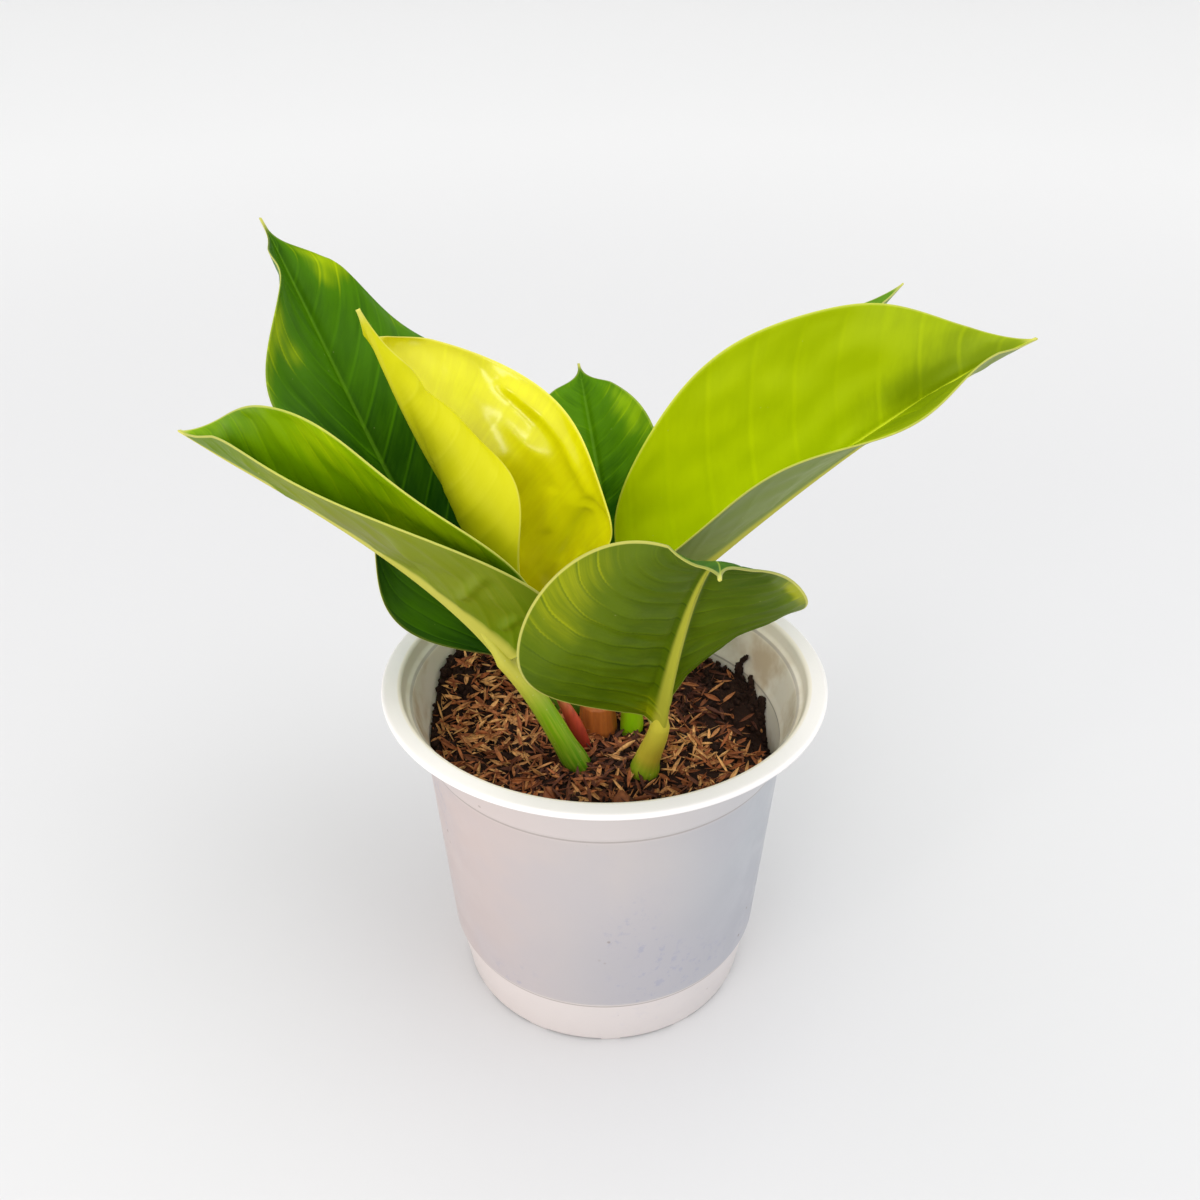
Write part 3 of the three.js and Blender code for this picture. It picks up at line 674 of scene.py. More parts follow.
def make_mix():
    """The body, lumps and bark flakes as one piece, in two materials, and the husks on it."""
    materials = mix_materials()
    flakes = np.array([(x, y, mix_height(x, y) + 2) for x, y in FLAKES["at"]])
    parts = [
        (*make_mix_body(), 0, 0.0),
        (*make_lumps(HUSK["seed"] + 2, lump_places(), LUMPS["size"]), 0, 0.0),
        (*make_lumps(HUSK["seed"] + 3, flakes, FLAKES["size"], FLAKES["tilt"]), 1, FLAKES["tone"]),
    ]
    points, faces, slots, tones = [], [], [], []
    for part_points, part_faces, slot, tone in parts:
        first = sum(len(group) for group in points)
        faces += [[int(corner) + first for corner in face] for face in part_faces]
        slots += [slot] * len(part_faces)
        tones.append(np.zeros(len(part_points)) + tone)
        points.append(part_points)
    marks = {"tone": np.concatenate(tones)}
    mix = make_piece("potting_mix_detail", np.concatenate(points), faces, materials, slots, marks)
    dress(mix, "potting_mix")
    make_husks(materials[1])


# Tubes: stalks, stem and sheath

def tube_points(path, side, radii, around, shape):
    """Rings of points round a path. side points left, and shape gives the swell by share and angle."""
    ahead = unit(np.gradient(path, axis=0))
    up = unit(np.cross(ahead, side))
    across = unit(np.cross(up, ahead))
    angle = np.linspace(0, 2 * np.pi, around, endpoint=False)
    swell = shape(np.linspace(0, 1, len(path))[:, None], angle)
    ring = across[:, None] * np.cos(angle)[:, None] + up[:, None] * np.sin(angle)[:, None]
    return path[:, None] + ring * (radii[:, None] * swell)[..., None]


def bezier(points, t):
    """A curve with three or four control points at values t."""
    while len(points) > 1:
        points = [a + (b - a) * t for a, b in zip(points, points[1:])]
    return points[0]


def root_line(foot, root):
    """Where a stalk leaves the mix, its end deep in the mix, and its direction."""
    top = np.array([*foot, SURFACE])
    end = np.array([*root, SURFACE - ROOT_DEPTH])
    return top, end, unit(top - end)


def make_stem():
    rows, around = 40, 64
    height = np.linspace(SURFACE - ROOT_DEPTH, STEM["top"], rows)
    above = np.clip((height - SURFACE) / (STEM["top"] - SURFACE), 0, 1)
    radii = STEM["radius"] + (STEM["neck"] - STEM["radius"]) * above
    radii = radii * (1 - 0.5 * smoothstep(0.93, 1.0, above))
    path = np.stack([np.full(rows, STEM["at"][0]), np.full(rows, STEM["at"][1]), height], axis=-1)

    def folds(share, angle):
        return 1 + 0.025 * np.sin(11 * angle + 5 * share) + 0.005 * np.sin(share * 60)

    points = tube_points(path, np.array([1.0, 0, 0]), radii, around, folds)
    shader = Shader("stem_tan", Roughness=0.5, Specular_IOR_Level=0.4)
    place = shader.place()
    drawn = shader.node("Mapping", {"Vector": place, "Scale": (1, 1, 0.12)})
    shader.colour = paint(134, 66, 22)
    shader.cover(shader.noise(drawn, 520, 3), (216, 124, 52))
    shader.set("Base Color", shader.colour)
    shader.bump(shader.noise(drawn, 800, 3), 0.3)
    stem = make_piece("stem_detail", points.reshape(-1, 3), tube_faces(rows, around), [shader.material])
    dress(stem, "stem")


def make_sheath():
    rows, around = 60, 32
    top, end, direction = root_line(SHEATH["foot"], SHEATH["root"])
    tip = np.array(SHEATH["tip"], float)
    reach = np.linalg.norm(tip - top)
    t = np.linspace(0, 1, rows)[:, None]
    curve = bezier([top, top + direction * reach / 2, tip], t)
    path = np.concatenate([[end], curve])
    radii = np.concatenate([[SHEATH["radius"]], SHEATH["radius"] * (1 - 0.9 * t[:, 0] ** 2)])

    def keel(share, angle):
        return 1 + 0.1 * np.cos(2 * angle) - 0.3 * np.exp(-((np.sin((angle - 1.57) / 2)) / 0.25) ** 2)

    points = tube_points(path, np.array([1.0, 0, 0]), radii, around, keel)
    shader = Shader("sheath_red", Roughness=0.42, Specular_IOR_Level=0.45)
    place = shader.place()
    height = shader.times(shader.split(place)[2], 1 / MM)
    shader.colour = paint(164, 48, 32)
    shader.cover(shader.rise(height, 112, 128), (206, 76, 52))
    shader.cover(shader.rise(height, 126, 141), (214, 150, 92))
    streak = shader.noise(shader.node("Mapping", {"Vector": place, "Scale": (1, 1, 0.15)}), 700, 3)
    shader.cover(shader.rise(streak, 0.35, 0.75, 0, 0.45), (120, 36, 28))
    shader.set("Base Color", shader.colour)
    shader.bump(streak, 0.15)
    faces = tube_faces(rows + 1, around)
    sheath = make_piece("sheath_detail", points.reshape(-1, 3), faces, [shader.material])
    dress(sheath, "sheath_red")


# Leaves: shape

def half_width(half, widest, s):
    """Width of one half of a blade at shares s of its length."""
    below = np.clip(1 - (1 - s / widest) ** 2, 0, 1)
    above = np.clip(1 - ((s - widest) / (1 - widest)) ** 2, 0, 1)
    end = LEAST_WIDTH["middle"] + (LEAST_WIDTH["tip"] - LEAST_WIDTH["middle"]) * smoothstep(0.9, 1, s)
    low = np.maximum(below ** half["round"], LEAST_WIDTH["base"])
    start, amount = half.get("tip", (0.9, 0))
    high = np.maximum(above ** half["point"] * (1 - amount * smoothstep(start, 1, s)), end)
    return half["width"] * np.where(s < widest, low, high)


def directions(leaf, s):
    """Ahead, left and out of the upper face, at shares s along the midrib."""
    rise = np.radians(quadratic(leaf["rise"], s))
    heading = np.radians(leaf["heading"] + leaf["turn"] * s)
    roll = np.radians(quadratic(leaf["roll"], s))[:, None]
    ahead = np.stack([np.cos(rise) * np.cos(heading), np.cos(rise) * np.sin(heading), np.sin(rise)], axis=-1)
    level = np.stack([-np.sin(heading), np.cos(heading), 0 * heading], axis=-1)
    up = np.cross(ahead, level)
    return ahead, level * np.cos(roll) + up * np.sin(roll), up * np.cos(roll) - level * np.sin(roll)


def midrib(leaf, s):
    """Points on the midrib, summed from small steps ahead."""
    fine = np.linspace(0, 1, SPINE_STEPS + 1)
    steps = directions(leaf, (fine[1:] + fine[:-1]) / 2)[0] * leaf["length"] / SPINE_STEPS
    path = np.vstack([np.zeros(3), np.cumsum(steps, axis=0)]) + leaf["base"]
    return np.stack([np.interp(s, fine, path[:, axis]) for axis in range(3)], axis=-1)


def blade_half(leaf, s, tau, side):
    """Points and normals of one half's upper face, and its width, with the rows along s."""
    half = leaf["left"] if side > 0 else leaf["right"]
    _, left, out = directions(leaf, s)
    width = half_width(half, leaf["widest"], s)[:, None]
    fold = np.radians(quadratic(leaf["fold"], s))[:, None]
    uncurl = np.clip(width / NARROW, LEAST_CURL, 1)
    curl = np.radians(quadratic(half["curl"], s))[:, None] * uncurl
    curl = np.where(np.abs(curl) < 1e-4, 1e-4, curl)
    angle = fold + curl * tau
    height, count, phase = half["wave"]
    fade = tau ** 2 * np.minimum(width / (WAVE_WIDTH * leaf["left"]["width"]), 1)
    calm = 1 - smoothstep(*half.get("calm", (1, 1.1)), s)
    fade = fade * (np.sqrt(np.clip(np.sin(np.pi * s), 0, 1)) * calm)[:, None]
    wave = height * np.sin(2 * np.pi * (count * s + phase))[:, None] * fade
    across = width * (np.sin(angle) - np.sin(fold)) / curl - wave * np.sin(angle)
    up = width * (np.cos(fold) - np.cos(angle)) / curl + wave * np.cos(angle)
    left, out = left[:, None], out[:, None]
    points = midrib(leaf, s)[:, None] + side * left * across[..., None] + out * up[..., None]
    normals = out * np.cos(angle)[..., None] - side * left * np.sin(angle)[..., None]
    return points, normals, width


def crease_relief(creases, s, t, leaf):
    """Millimetres of relief from creases, each (start, end, height, reach) between two (s, t) places."""
    relief = np.zeros(np.broadcast(s, t).shape)
    size = np.array([leaf["length"], leaf["left"]["width"]])
    for start, end, height, reach in creases:
        a, b = np.array(start) * size, np.array(end) * size
        along = b - a
        offset = np.stack(np.broadcast_arrays(s * size[0], t * size[1]), axis=-1) - a
        share = np.clip(offset @ along / (along @ along), 0, 1)
        distance = np.linalg.norm(offset - share[..., None] * along, axis=-1)
        relief += height * np.exp(-(distance / reach) ** 2) * (1 - (2 * share - 1) ** 4)
    return relief


def ripples(along, across):
    """Soft uneven waves of -1 to 1 over a blade."""
    places = zip(np.ravel(along) / RIPPLE["length"], np.ravel(across) / RIPPLE["width"])
    values = [noise.noise(Vector((a, b, RIPPLE["seed"]))) for a, b in places]
    return np.reshape(values, np.shape(across))


def blade_skin(leaf, look):
    """The blade as a grid from left margin to right: upper points, normals and the values by point."""
    rows, columns = BLADE["rows"], BLADE["columns"]
    even = np.linspace(0, 1, rows)
    s = (even + (1 - np.cos(even * np.pi)) / 2) / 2
    tau = np.linspace(0, 1, columns + 1) ** 1.15
    left, left_normals, left_width = blade_half(leaf, s, tau, 1)
    right, right_normals, right_width = blade_half(leaf, s, tau, -1)
    points = np.concatenate([left[:, ::-1], right[:, 1:]], axis=1)
    normals = np.concatenate([left_normals[:, ::-1], right_normals[:, 1:]], axis=1)
    middle = columns
    normals[:, middle] = unit(left_normals[:, 0] + right_normals[:, 0])
    t = np.concatenate([tau[::-1], -tau[1:]])[None]
    width = np.concatenate([
        np.repeat(left_width, columns + 1, axis=1), np.repeat(right_width, columns, axis=1)
    ], axis=1)
    off_rib = np.abs(t) * width
    s_grid = np.repeat(s[:, None], 2 * columns + 1, axis=1)
    lean = look["lean"] * width / max(leaf["left"]["width"], leaf["right"]["width"])
    vein = (s_grid - lean * np.abs(t) - look["sweep"] * t ** 2) * look["veins"]
    fade = smoothstep(1.5, 7, off_rib) * smoothstep(0, 6, width - off_rib)
    nearest = np.abs((vein + 0.5) % 1 - 0.5)
    relief = -look["relief"] * np.exp(-(nearest / 0.13) ** 2) * fade
    relief += 0.35 * np.sin(vein * 2.1 + 2 * t) * fade
    groove = look["groove"] * np.exp(-(off_rib / 1.6) ** 2) * smoothstep(1, 0.8, s_grid)
    relief = relief - groove + crease_relief(look["creases"], s_grid, t, leaf)
    relief += look.get("ripple", RIPPLE["height"]) * ripples(s_grid * leaf["length"], t * width) * fade
    points = points + normals * relief[..., None]
    marks = {
        "along": s_grid, "off_rib": off_rib * np.sign(t + 1e-9), "to_edge": width - off_rib, "vein": vein,
    }
    return s, t, points, normals, width, marks


def spots(places, s, t):
    """A field from soft spots, each (s, t, reach along, reach across, amount)."""
    field = np.zeros(np.broadcast(s, t).shape)
    for at_s, at_t, along, across, amount in places:
        field += amount * np.exp(-((s - at_s) / along) ** 2 - ((t - at_t) / across) ** 2)
    return field


def make_blade(leaf, look):
    """Points, faces, face slots and marks of a blade closed round its rim."""
    s, t, upper, normals, width, marks = blade_skin(leaf, look)
    rows, columns = upper.shape[:2]
    stalk = leaf["stalk"][1]
    rib_half = RIB["width"] * stalk * (1 - s) ** RIB["width_power"] + RIB["least"]
    rib_depth = RIB["depth"] * stalk * (1 - s) ** RIB["depth_power"]
    off = np.abs(marks["off_rib"])
    ratio = off / rib_half[:, None]
    rib = np.clip(1 - (ratio / 1.45) ** 2, 0, 1) ** 1.3 * rib_depth[:, None]
    thick = BLADE["thick"] + (BLADE["edge"] - BLADE["thick"]) * np.abs(t)
    out = directions(leaf, s)[2][:, None]
    lower = upper - normals * thick[..., None] - out * rib[..., None]
    mid_left = (upper[:, 0] + lower[:, 0]) / 2
    mid_right = (upper[:, -1] + lower[:, -1]) / 2
    mid_left += unit(upper[:, 0] - upper[:, 1]) * BLADE["edge"] / 2
    mid_right += unit(upper[:, -1] - upper[:, -2]) * BLADE["edge"] / 2
    # One closed ring of points for each row: upper face, right rim, lower face, left rim
    loop = np.concatenate([upper, mid_right[:, None], lower[:, ::-1], mid_left[:, None]], axis=1)
    around = loop.shape[1]
    faces = tube_faces(rows, around)
    column = np.arange((rows - 1) * around) % around
    slots = np.where(column < columns, 0, np.where(column < 2 * columns + 1, 1, 0))
    everywhere = {}
    pale_upper = spots(look["pale_upper"], marks["along"], t)
    pale_lower = spots(look["pale_lower"], marks["along"], t)
    for name, values in marks.items():
        everywhere[name] = ring_values(values, values[:, ::-1])
    everywhere["to_edge"][:, [columns, -1]] = 0
    everywhere["pale"] = ring_values(pale_upper, pale_lower[:, ::-1])
    everywhere["rib"] = ring_values(ratio, ratio[:, ::-1])
    values = {name: grid.ravel() for name, grid in everywhere.items()}
    return loop.reshape(-1, 3), faces, [*slots, 1, 1], values


def ring_values(upper, lower):
    """Values of a row's closed ring, with the rims taken from the upper face."""
    return np.concatenate([upper, upper[:, -1:], lower, upper[:, :1]], axis=1)


def make_stalk(leaf, first):
    """Points, faces and the share down the stalk. It runs from deep in the mix into the midrib."""
    thick, thin = leaf["stalk"]
    base = np.array(leaf["base"], float)
    ahead, left, out = [vectors[0] for vectors in directions(leaf, np.array([0.0]))]
    end = base - out * (thin + BLADE["thick"] / 2)
    if leaf.get("on_stem"):
        foot, direction = np.array([*leaf["foot"], STEM["top"] + 0.35]), np.array([0, 0, 1.0])
        below = foot - direction * 0.5
    else:
        foot, below, direction = root_line(leaf["foot"], leaf["root"])
    reach = np.linalg.norm(foot - end)
    t = np.linspace(0, 1, STALK["rows"])[:, None]
    curve = bezier([foot, foot + direction * 0.35 * reach, end - ahead * 0.4 * reach, end], t)
    inside_s = np.linspace(0, STALK["in_blade"] / leaf["length"], 8)[1:]
    _, _, outs = directions(leaf, inside_s)
    fade = np.linspace(1, 0, 8)[1:, None]
    sunk = midrib(leaf, inside_s) - outs * (thin * (0.25 + 0.75 * fade) + BLADE["thick"] / 2)
    path = np.concatenate([[below], curve, sunk])
    swell = 1 + STALK["foot_swell"] * np.exp(-(t[:, 0] / 0.12) ** 2)
    radii = np.concatenate([
        [thick], (thick + (thin - thick) * t[:, 0]) * swell, thin * (0.3 + 0.65 * fade[:, 0]),
    ])

    def groove(share, angle):
        """A shallow channel along the upper side."""
        return 1 - 0.1 * np.exp(-((np.abs(angle - np.pi / 2)) / 0.45) ** 2) + 0 * share

    rings = tube_points(path, left, radii, STALK["around"], groove)
    down = np.concatenate([[1.0], 1 - t[:, 0], np.zeros(len(sunk))])
    turn = np.linspace(0, 1, STALK["around"], endpoint=False)
    values = {"down": np.repeat(down, STALK["around"]), "turn": np.tile(turn, len(path))}
    return rings.reshape(-1, 3), tube_faces(len(path), STALK["around"], first), values


# Leaves: looks

def blade_material(name, paints, gloss):
    """One face of a blade, with cream margin and tip. paints are deep, body, light and rib."""
    deep, body, light, rib_paint = paints
    shader = Shader(name, Roughness=gloss["roughness"], IOR=1.45, Specular_IOR_Level=gloss["specular"])
    shader.set("Coat Weight", gloss["coat"])
    shader.set("Coat Roughness", gloss["coat_roughness"])
    place = shader.place()
    vein, off_rib = shader.mark("vein"), shader.mark("off_rib")
    drawn = shader.join(vein, shader.times(off_rib, 0.045), 0.0)
    streak = shader.noise(drawn, 1.4, 3, 0.55)
    fine = shader.noise(shader.join(vein, shader.times(off_rib, 0.012), 3.0), 9.0, 2, 0.6)
    # Tone runs from deep at 0 over body to light at 1: streaks, fine lines, veins and painted shade beside
    # them
    near = shader.math("PINGPONG", vein, 0.5)
    line = shader.rise(near, 0.09, 0.01)
    tone = shader.add(shader.mark("pale"), shader.rise(streak, 0.3, 0.7, -gloss["streak"], gloss["streak"]))
    tone = shader.add(tone, shader.rise(fine, 0.3, 0.7, -gloss["fine"], gloss["fine"]))
    tone = shader.add(tone, shader.times(line, gloss["line"]))
    beside = shader.rise(shader.math("PINGPONG", shader.add(vein, 0.09), 0.5), 0.1, 0.02)
    painted_vein_shade = shader.times(shader.rise(shader.noise(place, 26, 2), 0.35, 0.6), beside)
    painted_vein_shade = shader.times(painted_vein_shade, shader.rise(shader.mark("along"), 0.65, 0.35, 0.3, 1))
    tone = shader.add(tone, shader.times(painted_vein_shade, -gloss["shade"]))
    shader.colour = paint(*deep)
    shader.cover(shader.rise(tone, 0.0, 0.5), body)
    shader.cover(shader.rise(tone, 0.5, 1.0), light)
    rib = shader.rise(shader.mark("rib"), *gloss["rib_mask"])
    shader.cover(shader.times(rib, gloss["rib"]), rib_paint)
    # Cream margin and tip, then pale specks
    tip = shader.rise(shader.mark("along"), 0.955, 0.995)
    edge = shader.rise(shader.mark("to_edge"), 0.65, 0.25)
    edge = shader.math("MAXIMUM", shader.times(edge, gloss["edge"]), shader.times(tip, 0.75))
    shader.cover(edge, CREAM)
    specks = shader.rise(shader.cells(place, 210), 0.075, 0.035)
    patch = shader.rise(shader.noise(place, 55, 2), 0.52, 0.6)
    specks = shader.times(shader.times(specks, patch), gloss["specks"])
    shader.cover(specks, (214, 218, 150))
    shader.set("Base Color", shader.colour)
    grain = shader.add(shader.times(fine, 0.7), shader.times(shader.noise(place, 900, 2), 0.3))
    shader.bump(grain, gloss["bump"])
    return shader.material


def stalk_material(name, paints):
    """A stalk from blade to foot, with fine lengthwise streaks and pale dots."""
    top, middle, foot = paints
    shader = Shader(name, Roughness=0.36, IOR=1.45, Specular_IOR_Level=0.5)
    down = shader.mark("down")
    shader.colour = paint(*top)
    shader.cover(shader.rise(down, 0.05, 0.55), middle)
    shader.cover(shader.rise(down, 0.6, 1.0), foot)
    drawn = shader.join(shader.times(shader.mark("turn"), 26), shader.times(down, 2.5), 0.0)
    streak = shader.noise(drawn, 1.0, 3)
    shader.cover(shader.rise(streak, 0.35, 0.75, 0, 0.3), top)
    place = shader.place()
    dots = shader.rise(shader.cells(place, 330), 0.13, 0.06)
    shader.cover(shader.times(dots, 0.35), (216, 214, 140))
    shader.set("Base Color", shader.colour)
    shader.bump(streak, 0.12)
    return shader.material


GLOSS_UPPER = {
    "roughness": 0.45, "specular": 0.12, "coat": 0.0, "coat_roughness": 0.2, "streak": 0.08, "fine": 0.04,
    "line": 0.12, "shade": 0.04, "rib": 0.7, "rib_mask": (0.6, 0.2), "edge": 0.4, "specks": 0.2, "bump": 0.05,
}
GLOSS_LOWER = {
    "roughness": 0.5, "specular": 0.14, "coat": 0.0, "coat_roughness": 0.2, "streak": 0.06, "fine": 0.04,
    "line": 0.08, "shade": 0.06, "rib": 0.95, "rib_mask": (1.1, 0.65), "edge": 0.65, "specks": 0.5,
    "bump": 0.06,
}
CREAM = (222, 216, 112)

# How each leaf looks. Paints: deep, body, light and rib. Spots: s, t, reaches and amount.
LOOKS = {
    "leaf_front": {
        "slot": "leaf_green", "veins": 15, "lean": 0.22, "sweep": 0.08, "relief": 0.7, "groove": 0.5,
        "ripple": 0.8,
        "upper": [(18, 66, 16), (44, 102, 14), (110, 150, 20), (150, 170, 60)],
        "gloss_lower": {"streak": 0.05, "fine": 0.03, "line": 0.1, "shade": 0.22},
        "lower": [(54, 80, 0), (92, 114, 0), (166, 172, 8), (184, 184, 60)],
        "stalk": [(222, 212, 70), (214, 198, 60), (128, 164, 20)],
        "pale_upper": [(0.5, 0, 1, 2, 0.35)],
        "pale_lower": [(0.4, 0, 2, 2, 0.3), (0.6, -0.95, 0.16, 0.35, 0.5), (0.45, 0.98, 0.1, 0.12, 0.3),
                       (0.02, 0, 0.08, 1, 0.6), (0.45, -0.75, 0.1, 0.25, 0.25), (0.75, 0.3, 0.2, 0.6, -0.15),
                       (0.58, 0.96, 0.08, 0.14, 0.8)],
        "creases": [((0.2, 0.12), (0.36, 0.5), 0.7, 1.6), ((0.13, -0.15), (0.24, -0.6), -0.9, 1.5),
                    ((0.2, -0.12), (0.36, -0.75), -0.8, 1.3), ((0.3, -0.1), (0.5, -0.7), 0.8, 1.6),
                    ((0.05, -0.12), (0.1, -0.5), -0.8, 1.2), ((0.08, 0.12), (0.14, 0.4), -0.6, 1.2)],
    },
    "leaf_left": {
        "slot": "leaf_green", "veins": 14, "lean": 0.24, "sweep": 0.06, "relief": 0.45, "groove": 0.4,
        "ripple": 1.1,
        "upper": [(96, 142, 0), (138, 176, 0), (190, 212, 10), (176, 200, 40)],
        "lower": [(104, 132, 0), (128, 142, 14), (130, 132, 66), (206, 202, 84)],
        "stalk": [(214, 210, 78), (124, 172, 6), (80, 134, 4)],
        "gloss_upper": {"edge": 0.55}, "gloss_lower": {"rib_mask": (1.7, 1.0)},
        # The spot at 0.28 along is painted light, lifting the low part of the upper face that lies in the
        # young gold leaf's shadow
        "pale_upper": [(0.5, -0.5, 2, 2, 0.4), (0.56, -0.85, 0.1, 0.4, 0.35), (0.28, -0.6, 0.14, 0.6, 0.6),
                       (0.82, -0.5, 0.12, 1, -0.25)],
        "pale_lower": [(0.42, 0.5, 0.2, 1, 0.75), (0.15, 0.5, 0.15, 1, 0.2)],
        "creases": [((0.19, 0.25), (0.2, 0.85), -1.5, 1.7), ((0.08, 0.2), (0.09, 0.6), -1.3, 1.6),
                    ((0.3, 0.55), (0.37, 0.95), -1.2, 2.8), ((0.27, 0.1), (0.33, 0.5), 1, 2.4)],
    },
    "leaf_back_left": {
        "gloss_upper": {"edge": 0.12, "rib": 0.35, "line": 0.14, "shade": 0.1, "specular": 0.06,
                        "streak": 0.06, "fine": 0.015},
        "slot": "leaf_dark", "veins": 13, "lean": 0.3, "sweep": 0.08, "relief": 0.35, "groove": 0.7,
        "upper": [(16, 60, 0), (72, 122, 0), (164, 188, 0), (108, 156, 24)],
        "lower": [(64, 104, 40), (92, 132, 60), (140, 160, 80), (160, 180, 90)],
        "stalk": [(140, 170, 60), (90, 140, 20), (60, 110, 12)],
        "pale_upper": [(0.75, 0, 0.35, 2, 0.36), (0.88, -0.9, 0.06, 0.35, 0.6), (0.84, -0.5, 0.04, 0.2, 0.3),
                       (0.74, 0.92, 0.05, 0.25, 0.55), (0.69, 0.6, 0.03, 0.2, 0.35),
                       (0.64, 0.98, 0.06, 0.1, 0.4), (0.18, 0.6, 0.12, 0.6, 0.35),
                       (0.72, -0.95, 0.05, 0.15, 0.3)],
        "pale_lower": [(0.5, 0, 2, 2, 0.4)],
        "creases": [],
    },
    "leaf_young_gold": {
        "slot": "leaf_gold", "veins": 11, "lean": 0.16, "sweep": 0.05, "relief": 0.2, "groove": 0.6,
        "gloss_upper": {"coat": 0.9, "coat_roughness": 0.2, "streak": 0.07, "edge": 0.3, "line": 0.06},
        "ripple": 1.2,
        "gloss_lower": {"edge": 0.3, "specks": 0.1, "streak": 0.06},
        "upper": [(200, 184, 0), (224, 218, 0), (240, 238, 4), (236, 232, 30)],
        "lower": [(196, 192, 6), (210, 206, 14), (220, 216, 42), (208, 204, 40)],
        "stalk": [(206, 200, 60), (170, 170, 30), (120, 140, 20)],
        # The spot at 0.18 along is painted light, brightening the base of the upper face where it lies in
        # shade
        "pale_upper": [(0.62, -0.7, 0.3, 1, 0.75), (0.18, -0.5, 0.22, 1, 0.8)],
        "pale_lower": [(0.6, 0, 0.6, 2, 0.7)],
        "creases": [((0.15, -0.95), (0.28, -0.78), -2, 2.6), ((0.1, -0.4), (0.24, -0.75), -2.6, 3.0),
                    ((0.2, -0.35), (0.32, -0.55), 1.5, 2.2), ((0.06, -0.3), (0.12, -0.7), 1.4, 2),
                    ((0.28, -0.84), (0.64, -0.82), 1.8, 2.6)],
    },
    "leaf_back": {
        "slot": "leaf_dark", "veins": 12, "lean": 0.12, "sweep": 0.05, "relief": 0.35, "groove": 0.6,
        "gloss_upper": {"edge": 0.2, "rib": 0.2, "specular": 0.06},
        "upper": [(30, 78, 0), (84, 134, 0), (146, 184, 4), (112, 156, 40)],
        "lower": [(64, 104, 40), (92, 132, 60), (140, 160, 80), (160, 180, 90)],
        "stalk": [(130, 160, 50), (86, 140, 20), (60, 110, 12)],
        "pale_upper": [(0.7, 0, 0.35, 2, 0.42), (0.65, -0.85, 0.25, 0.35, 0.5), (0.88, 0.8, 0.08, 0.3, 0.35)],
        "pale_lower": [(0.5, 0, 2, 2, 0.4)],
        "creases": [],
    },
    "leaf_right": {
        "slot": "leaf_lime", "veins": 10, "lean": 0.14, "sweep": 0.03, "relief": 0.3, "groove": 0.5,
        "gloss_upper": {"edge": 0.35, "line": 0.09, "streak": 0.05, "fine": 0.015}, "ripple": 0.8,
        "upper": [(124, 146, 0), (176, 196, 0), (200, 218, 0), (206, 218, 30)],
        "lower": [(114, 136, 56), (134, 150, 72), (150, 164, 86), (200, 196, 70)],
        "stalk": [(190, 206, 50), (158, 200, 4), (140, 196, 4)],
        "pale_upper": [(0.5, 0.5, 2, 2, 0.62), (0.65, -0.5, 0.3, 0.5, -0.4), (0.15, 0.6, 0.2, 1, 0.3),
                       (0.9, 0.3, 0.22, 1.2, -0.5), (0.68, 0.16, 0.13, 0.16, -0.25)],
        "pale_lower": [(0.3, -0.5, 1, 1, 0.5)],
        "creases": [],
    },
    "leaf_right_back": {
        "slot": "leaf_lime", "veins": 12, "lean": 0.14, "sweep": 0.04, "relief": 0.25, "groove": 0.5,
        "upper": [(54, 110, 8), (96, 142, 14), (150, 186, 24), (150, 180, 60)],
        "lower": [(84, 120, 40), (112, 140, 64), (140, 160, 80), (180, 190, 80)],
        "stalk": [(150, 180, 60), (104, 160, 14), (80, 140, 10)],
        "pale_upper": [(0.5, 0, 2, 2, 0.45)],
        "pale_lower": [(0.5, 0, 2, 2, 0.4)],
        "creases": [],
    },
}


def make_leaf(name):
    leaf, look = LEAVES[name], LOOKS[name]
    points, faces, slots, marks = make_blade(leaf, look)
    stalk_points, stalk_faces, stalk_marks = make_stalk(leaf, len(points))
    gloss_upper = {**GLOSS_UPPER, **look.get("gloss_upper", {})}
    gloss_lower = {**GLOSS_LOWER, **look.get("gloss_lower", {})}
    materials = [
        blade_material(name + "_upper", look["upper"], gloss_upper),
        blade_material(name + "_lower", look["lower"], gloss_lower),
        stalk_material(name + "_stalk", look["stalk"]),
    ]
    values = {mark: np.concatenate([grid, np.zeros(len(stalk_points))]) for mark, grid in marks.items()}
    values |= {mark: np.concatenate([np.zeros(len(points)), grid]) for mark, grid in stalk_marks.items()}
    points = np.concatenate([points, stalk_points])
    slots = [*slots] + [2] * len(stalk_faces)
    piece = make_piece(name + "_detail", points, faces + stalk_faces, materials, slots, values)
    dress(piece, name)


# Stage: floor, lights and camera

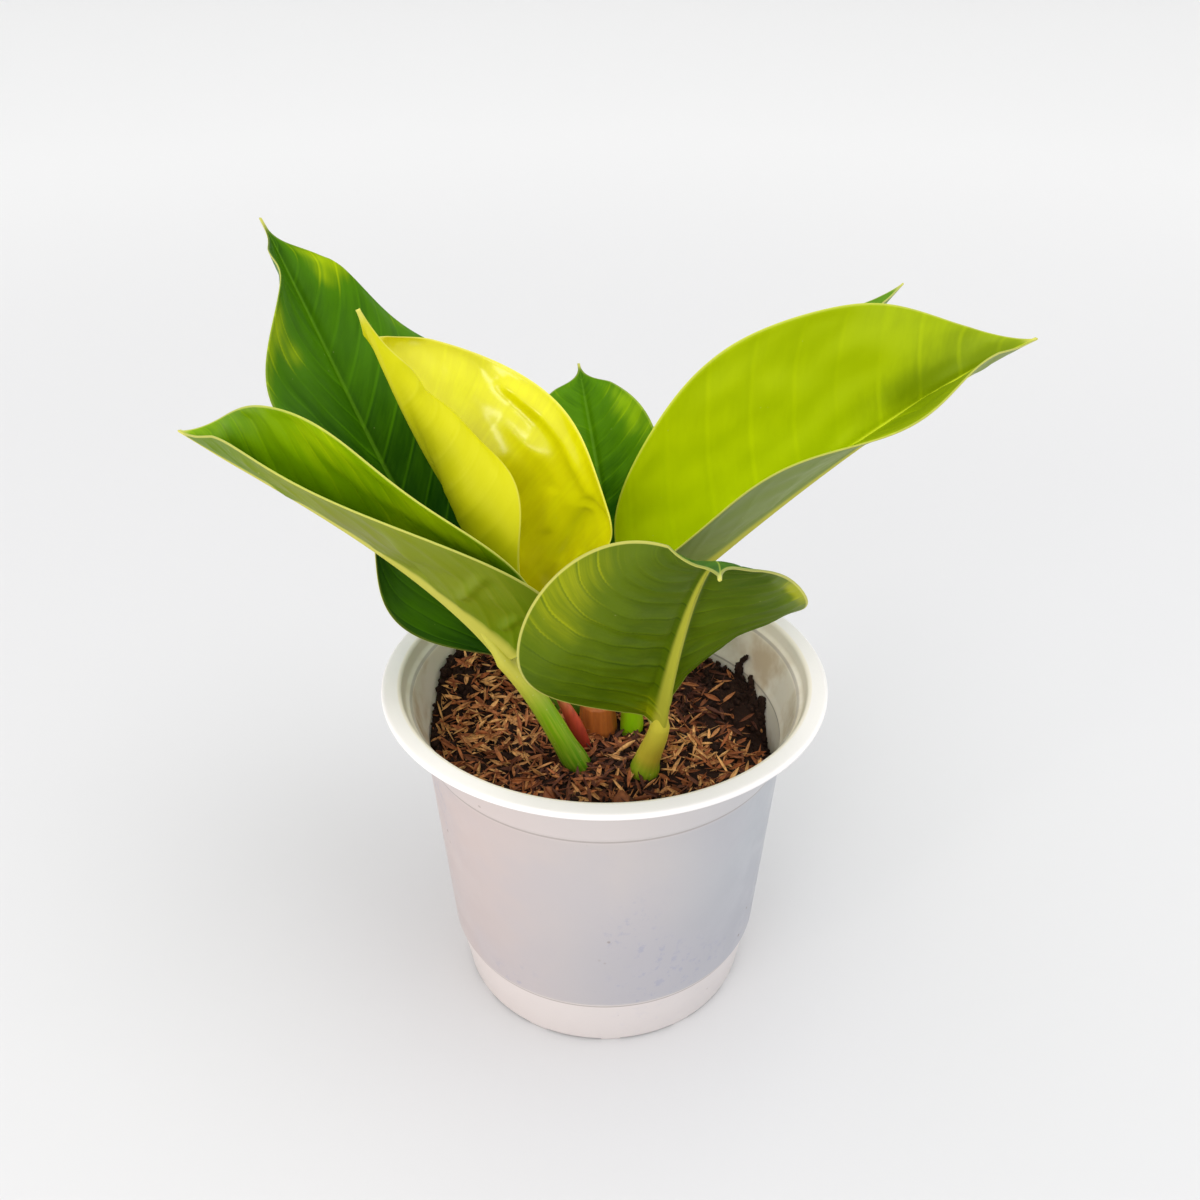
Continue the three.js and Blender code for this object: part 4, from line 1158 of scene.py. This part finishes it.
def make_stage():
    """A floor that bends up to a wall far behind the plant, in metres."""
    side, rise, bend = 9.0, 6.0, 2.5
    profile = [(-side, 0.0), (side - bend, 0.0)]
    profile += [
        (side - bend + bend * math.sin(a), bend - bend * math.cos(a)) for a in np.linspace(0, math.pi / 2, 16)
    ]
    profile.append((side, rise))
    points = [(x, y, z) for y, z in profile for x in (-side, side)]
    faces = grid_faces(len(profile), 2)[:, ::-1]
    shader = Shader("floor_pale", Roughness=0.8, Specular_IOR_Level=0.2)
    away = shader.node("VectorMath", {0: shader.place()}, output=1, operation="LENGTH")
    # Painted shade: the floor darker near the plant and lighter far off
    shader.colour = paint(219, 219, 220)
    shader.cover(shader.rise(away, 0.15, 2.2), (243, 243, 243))
    shader.set("Base Color", shader.colour)
    floor = make_piece("floor", np.array(points) / MM, faces, [shader.material])


def add_light(name, place, size, power, colour, aim=(0, 0, 0.2)):
    data = bpy.data.lights.new(name, "AREA")
    data.shape = "RECTANGLE"
    data.size, data.size_y = size
    data.energy, data.color = power, colour
    light = bpy.data.objects.new(name, data)
    light.location = place
    light.rotation_euler = (Vector(aim) - Vector(place)).to_track_quat("-Z", "Y").to_euler()
    bpy.context.scene.collection.objects.link(light)


def light_scene():
    """Soft light all round, brightest from above, with a warm lamp on the left and a cool one right."""
    world = bpy.data.worlds.new("studio")
    bpy.context.scene.world = world
    world.use_nodes = True
    tree = world.node_tree
    direction = tree.nodes.new("ShaderNodeTexCoord").outputs["Generated"]
    split = tree.nodes.new("ShaderNodeSeparateXYZ")
    tree.links.new(direction, split.inputs[0])
    level = tree.nodes.new("ShaderNodeMapRange")
    for key, value in {"From Min": 0, "From Max": 1, "To Min": SKY["level"], "To Max": SKY["above"]}.items():
        level.inputs[key].default_value = value
    tree.links.new(split.outputs[2], level.inputs["Value"])
    tree.links.new(level.outputs[0], tree.nodes["Background"].inputs["Strength"])
    tree.nodes["Background"].inputs["Color"].default_value = (1, 1, 1, 1)
    for name, place, size, power, colour in LAMPS:
        add_light(name, place, size, power, colour)
    bpy.context.scene.view_settings.view_transform = "Standard"


def place_camera():
    data = bpy.data.cameras.new("camera")
    data.lens, data.sensor_width = CAMERA["lens"], CAMERA["sensor"]
    data.clip_end = 100
    camera = bpy.data.objects.new("camera", data)
    camera.location = Vector(CAMERA["place"]) * MM
    camera.rotation_euler = (math.radians(90 - CAMERA["down"]), 0, 0)
    bpy.context.scene.collection.objects.link(camera)
    bpy.context.scene.camera = camera


# The plant
place_camera()
light_scene()
make_stage()
dress(make_pot(), "pot")
make_mix()
make_stem()
make_sheath()
for leaf_name in LEAVES:
    make_leaf(leaf_name)
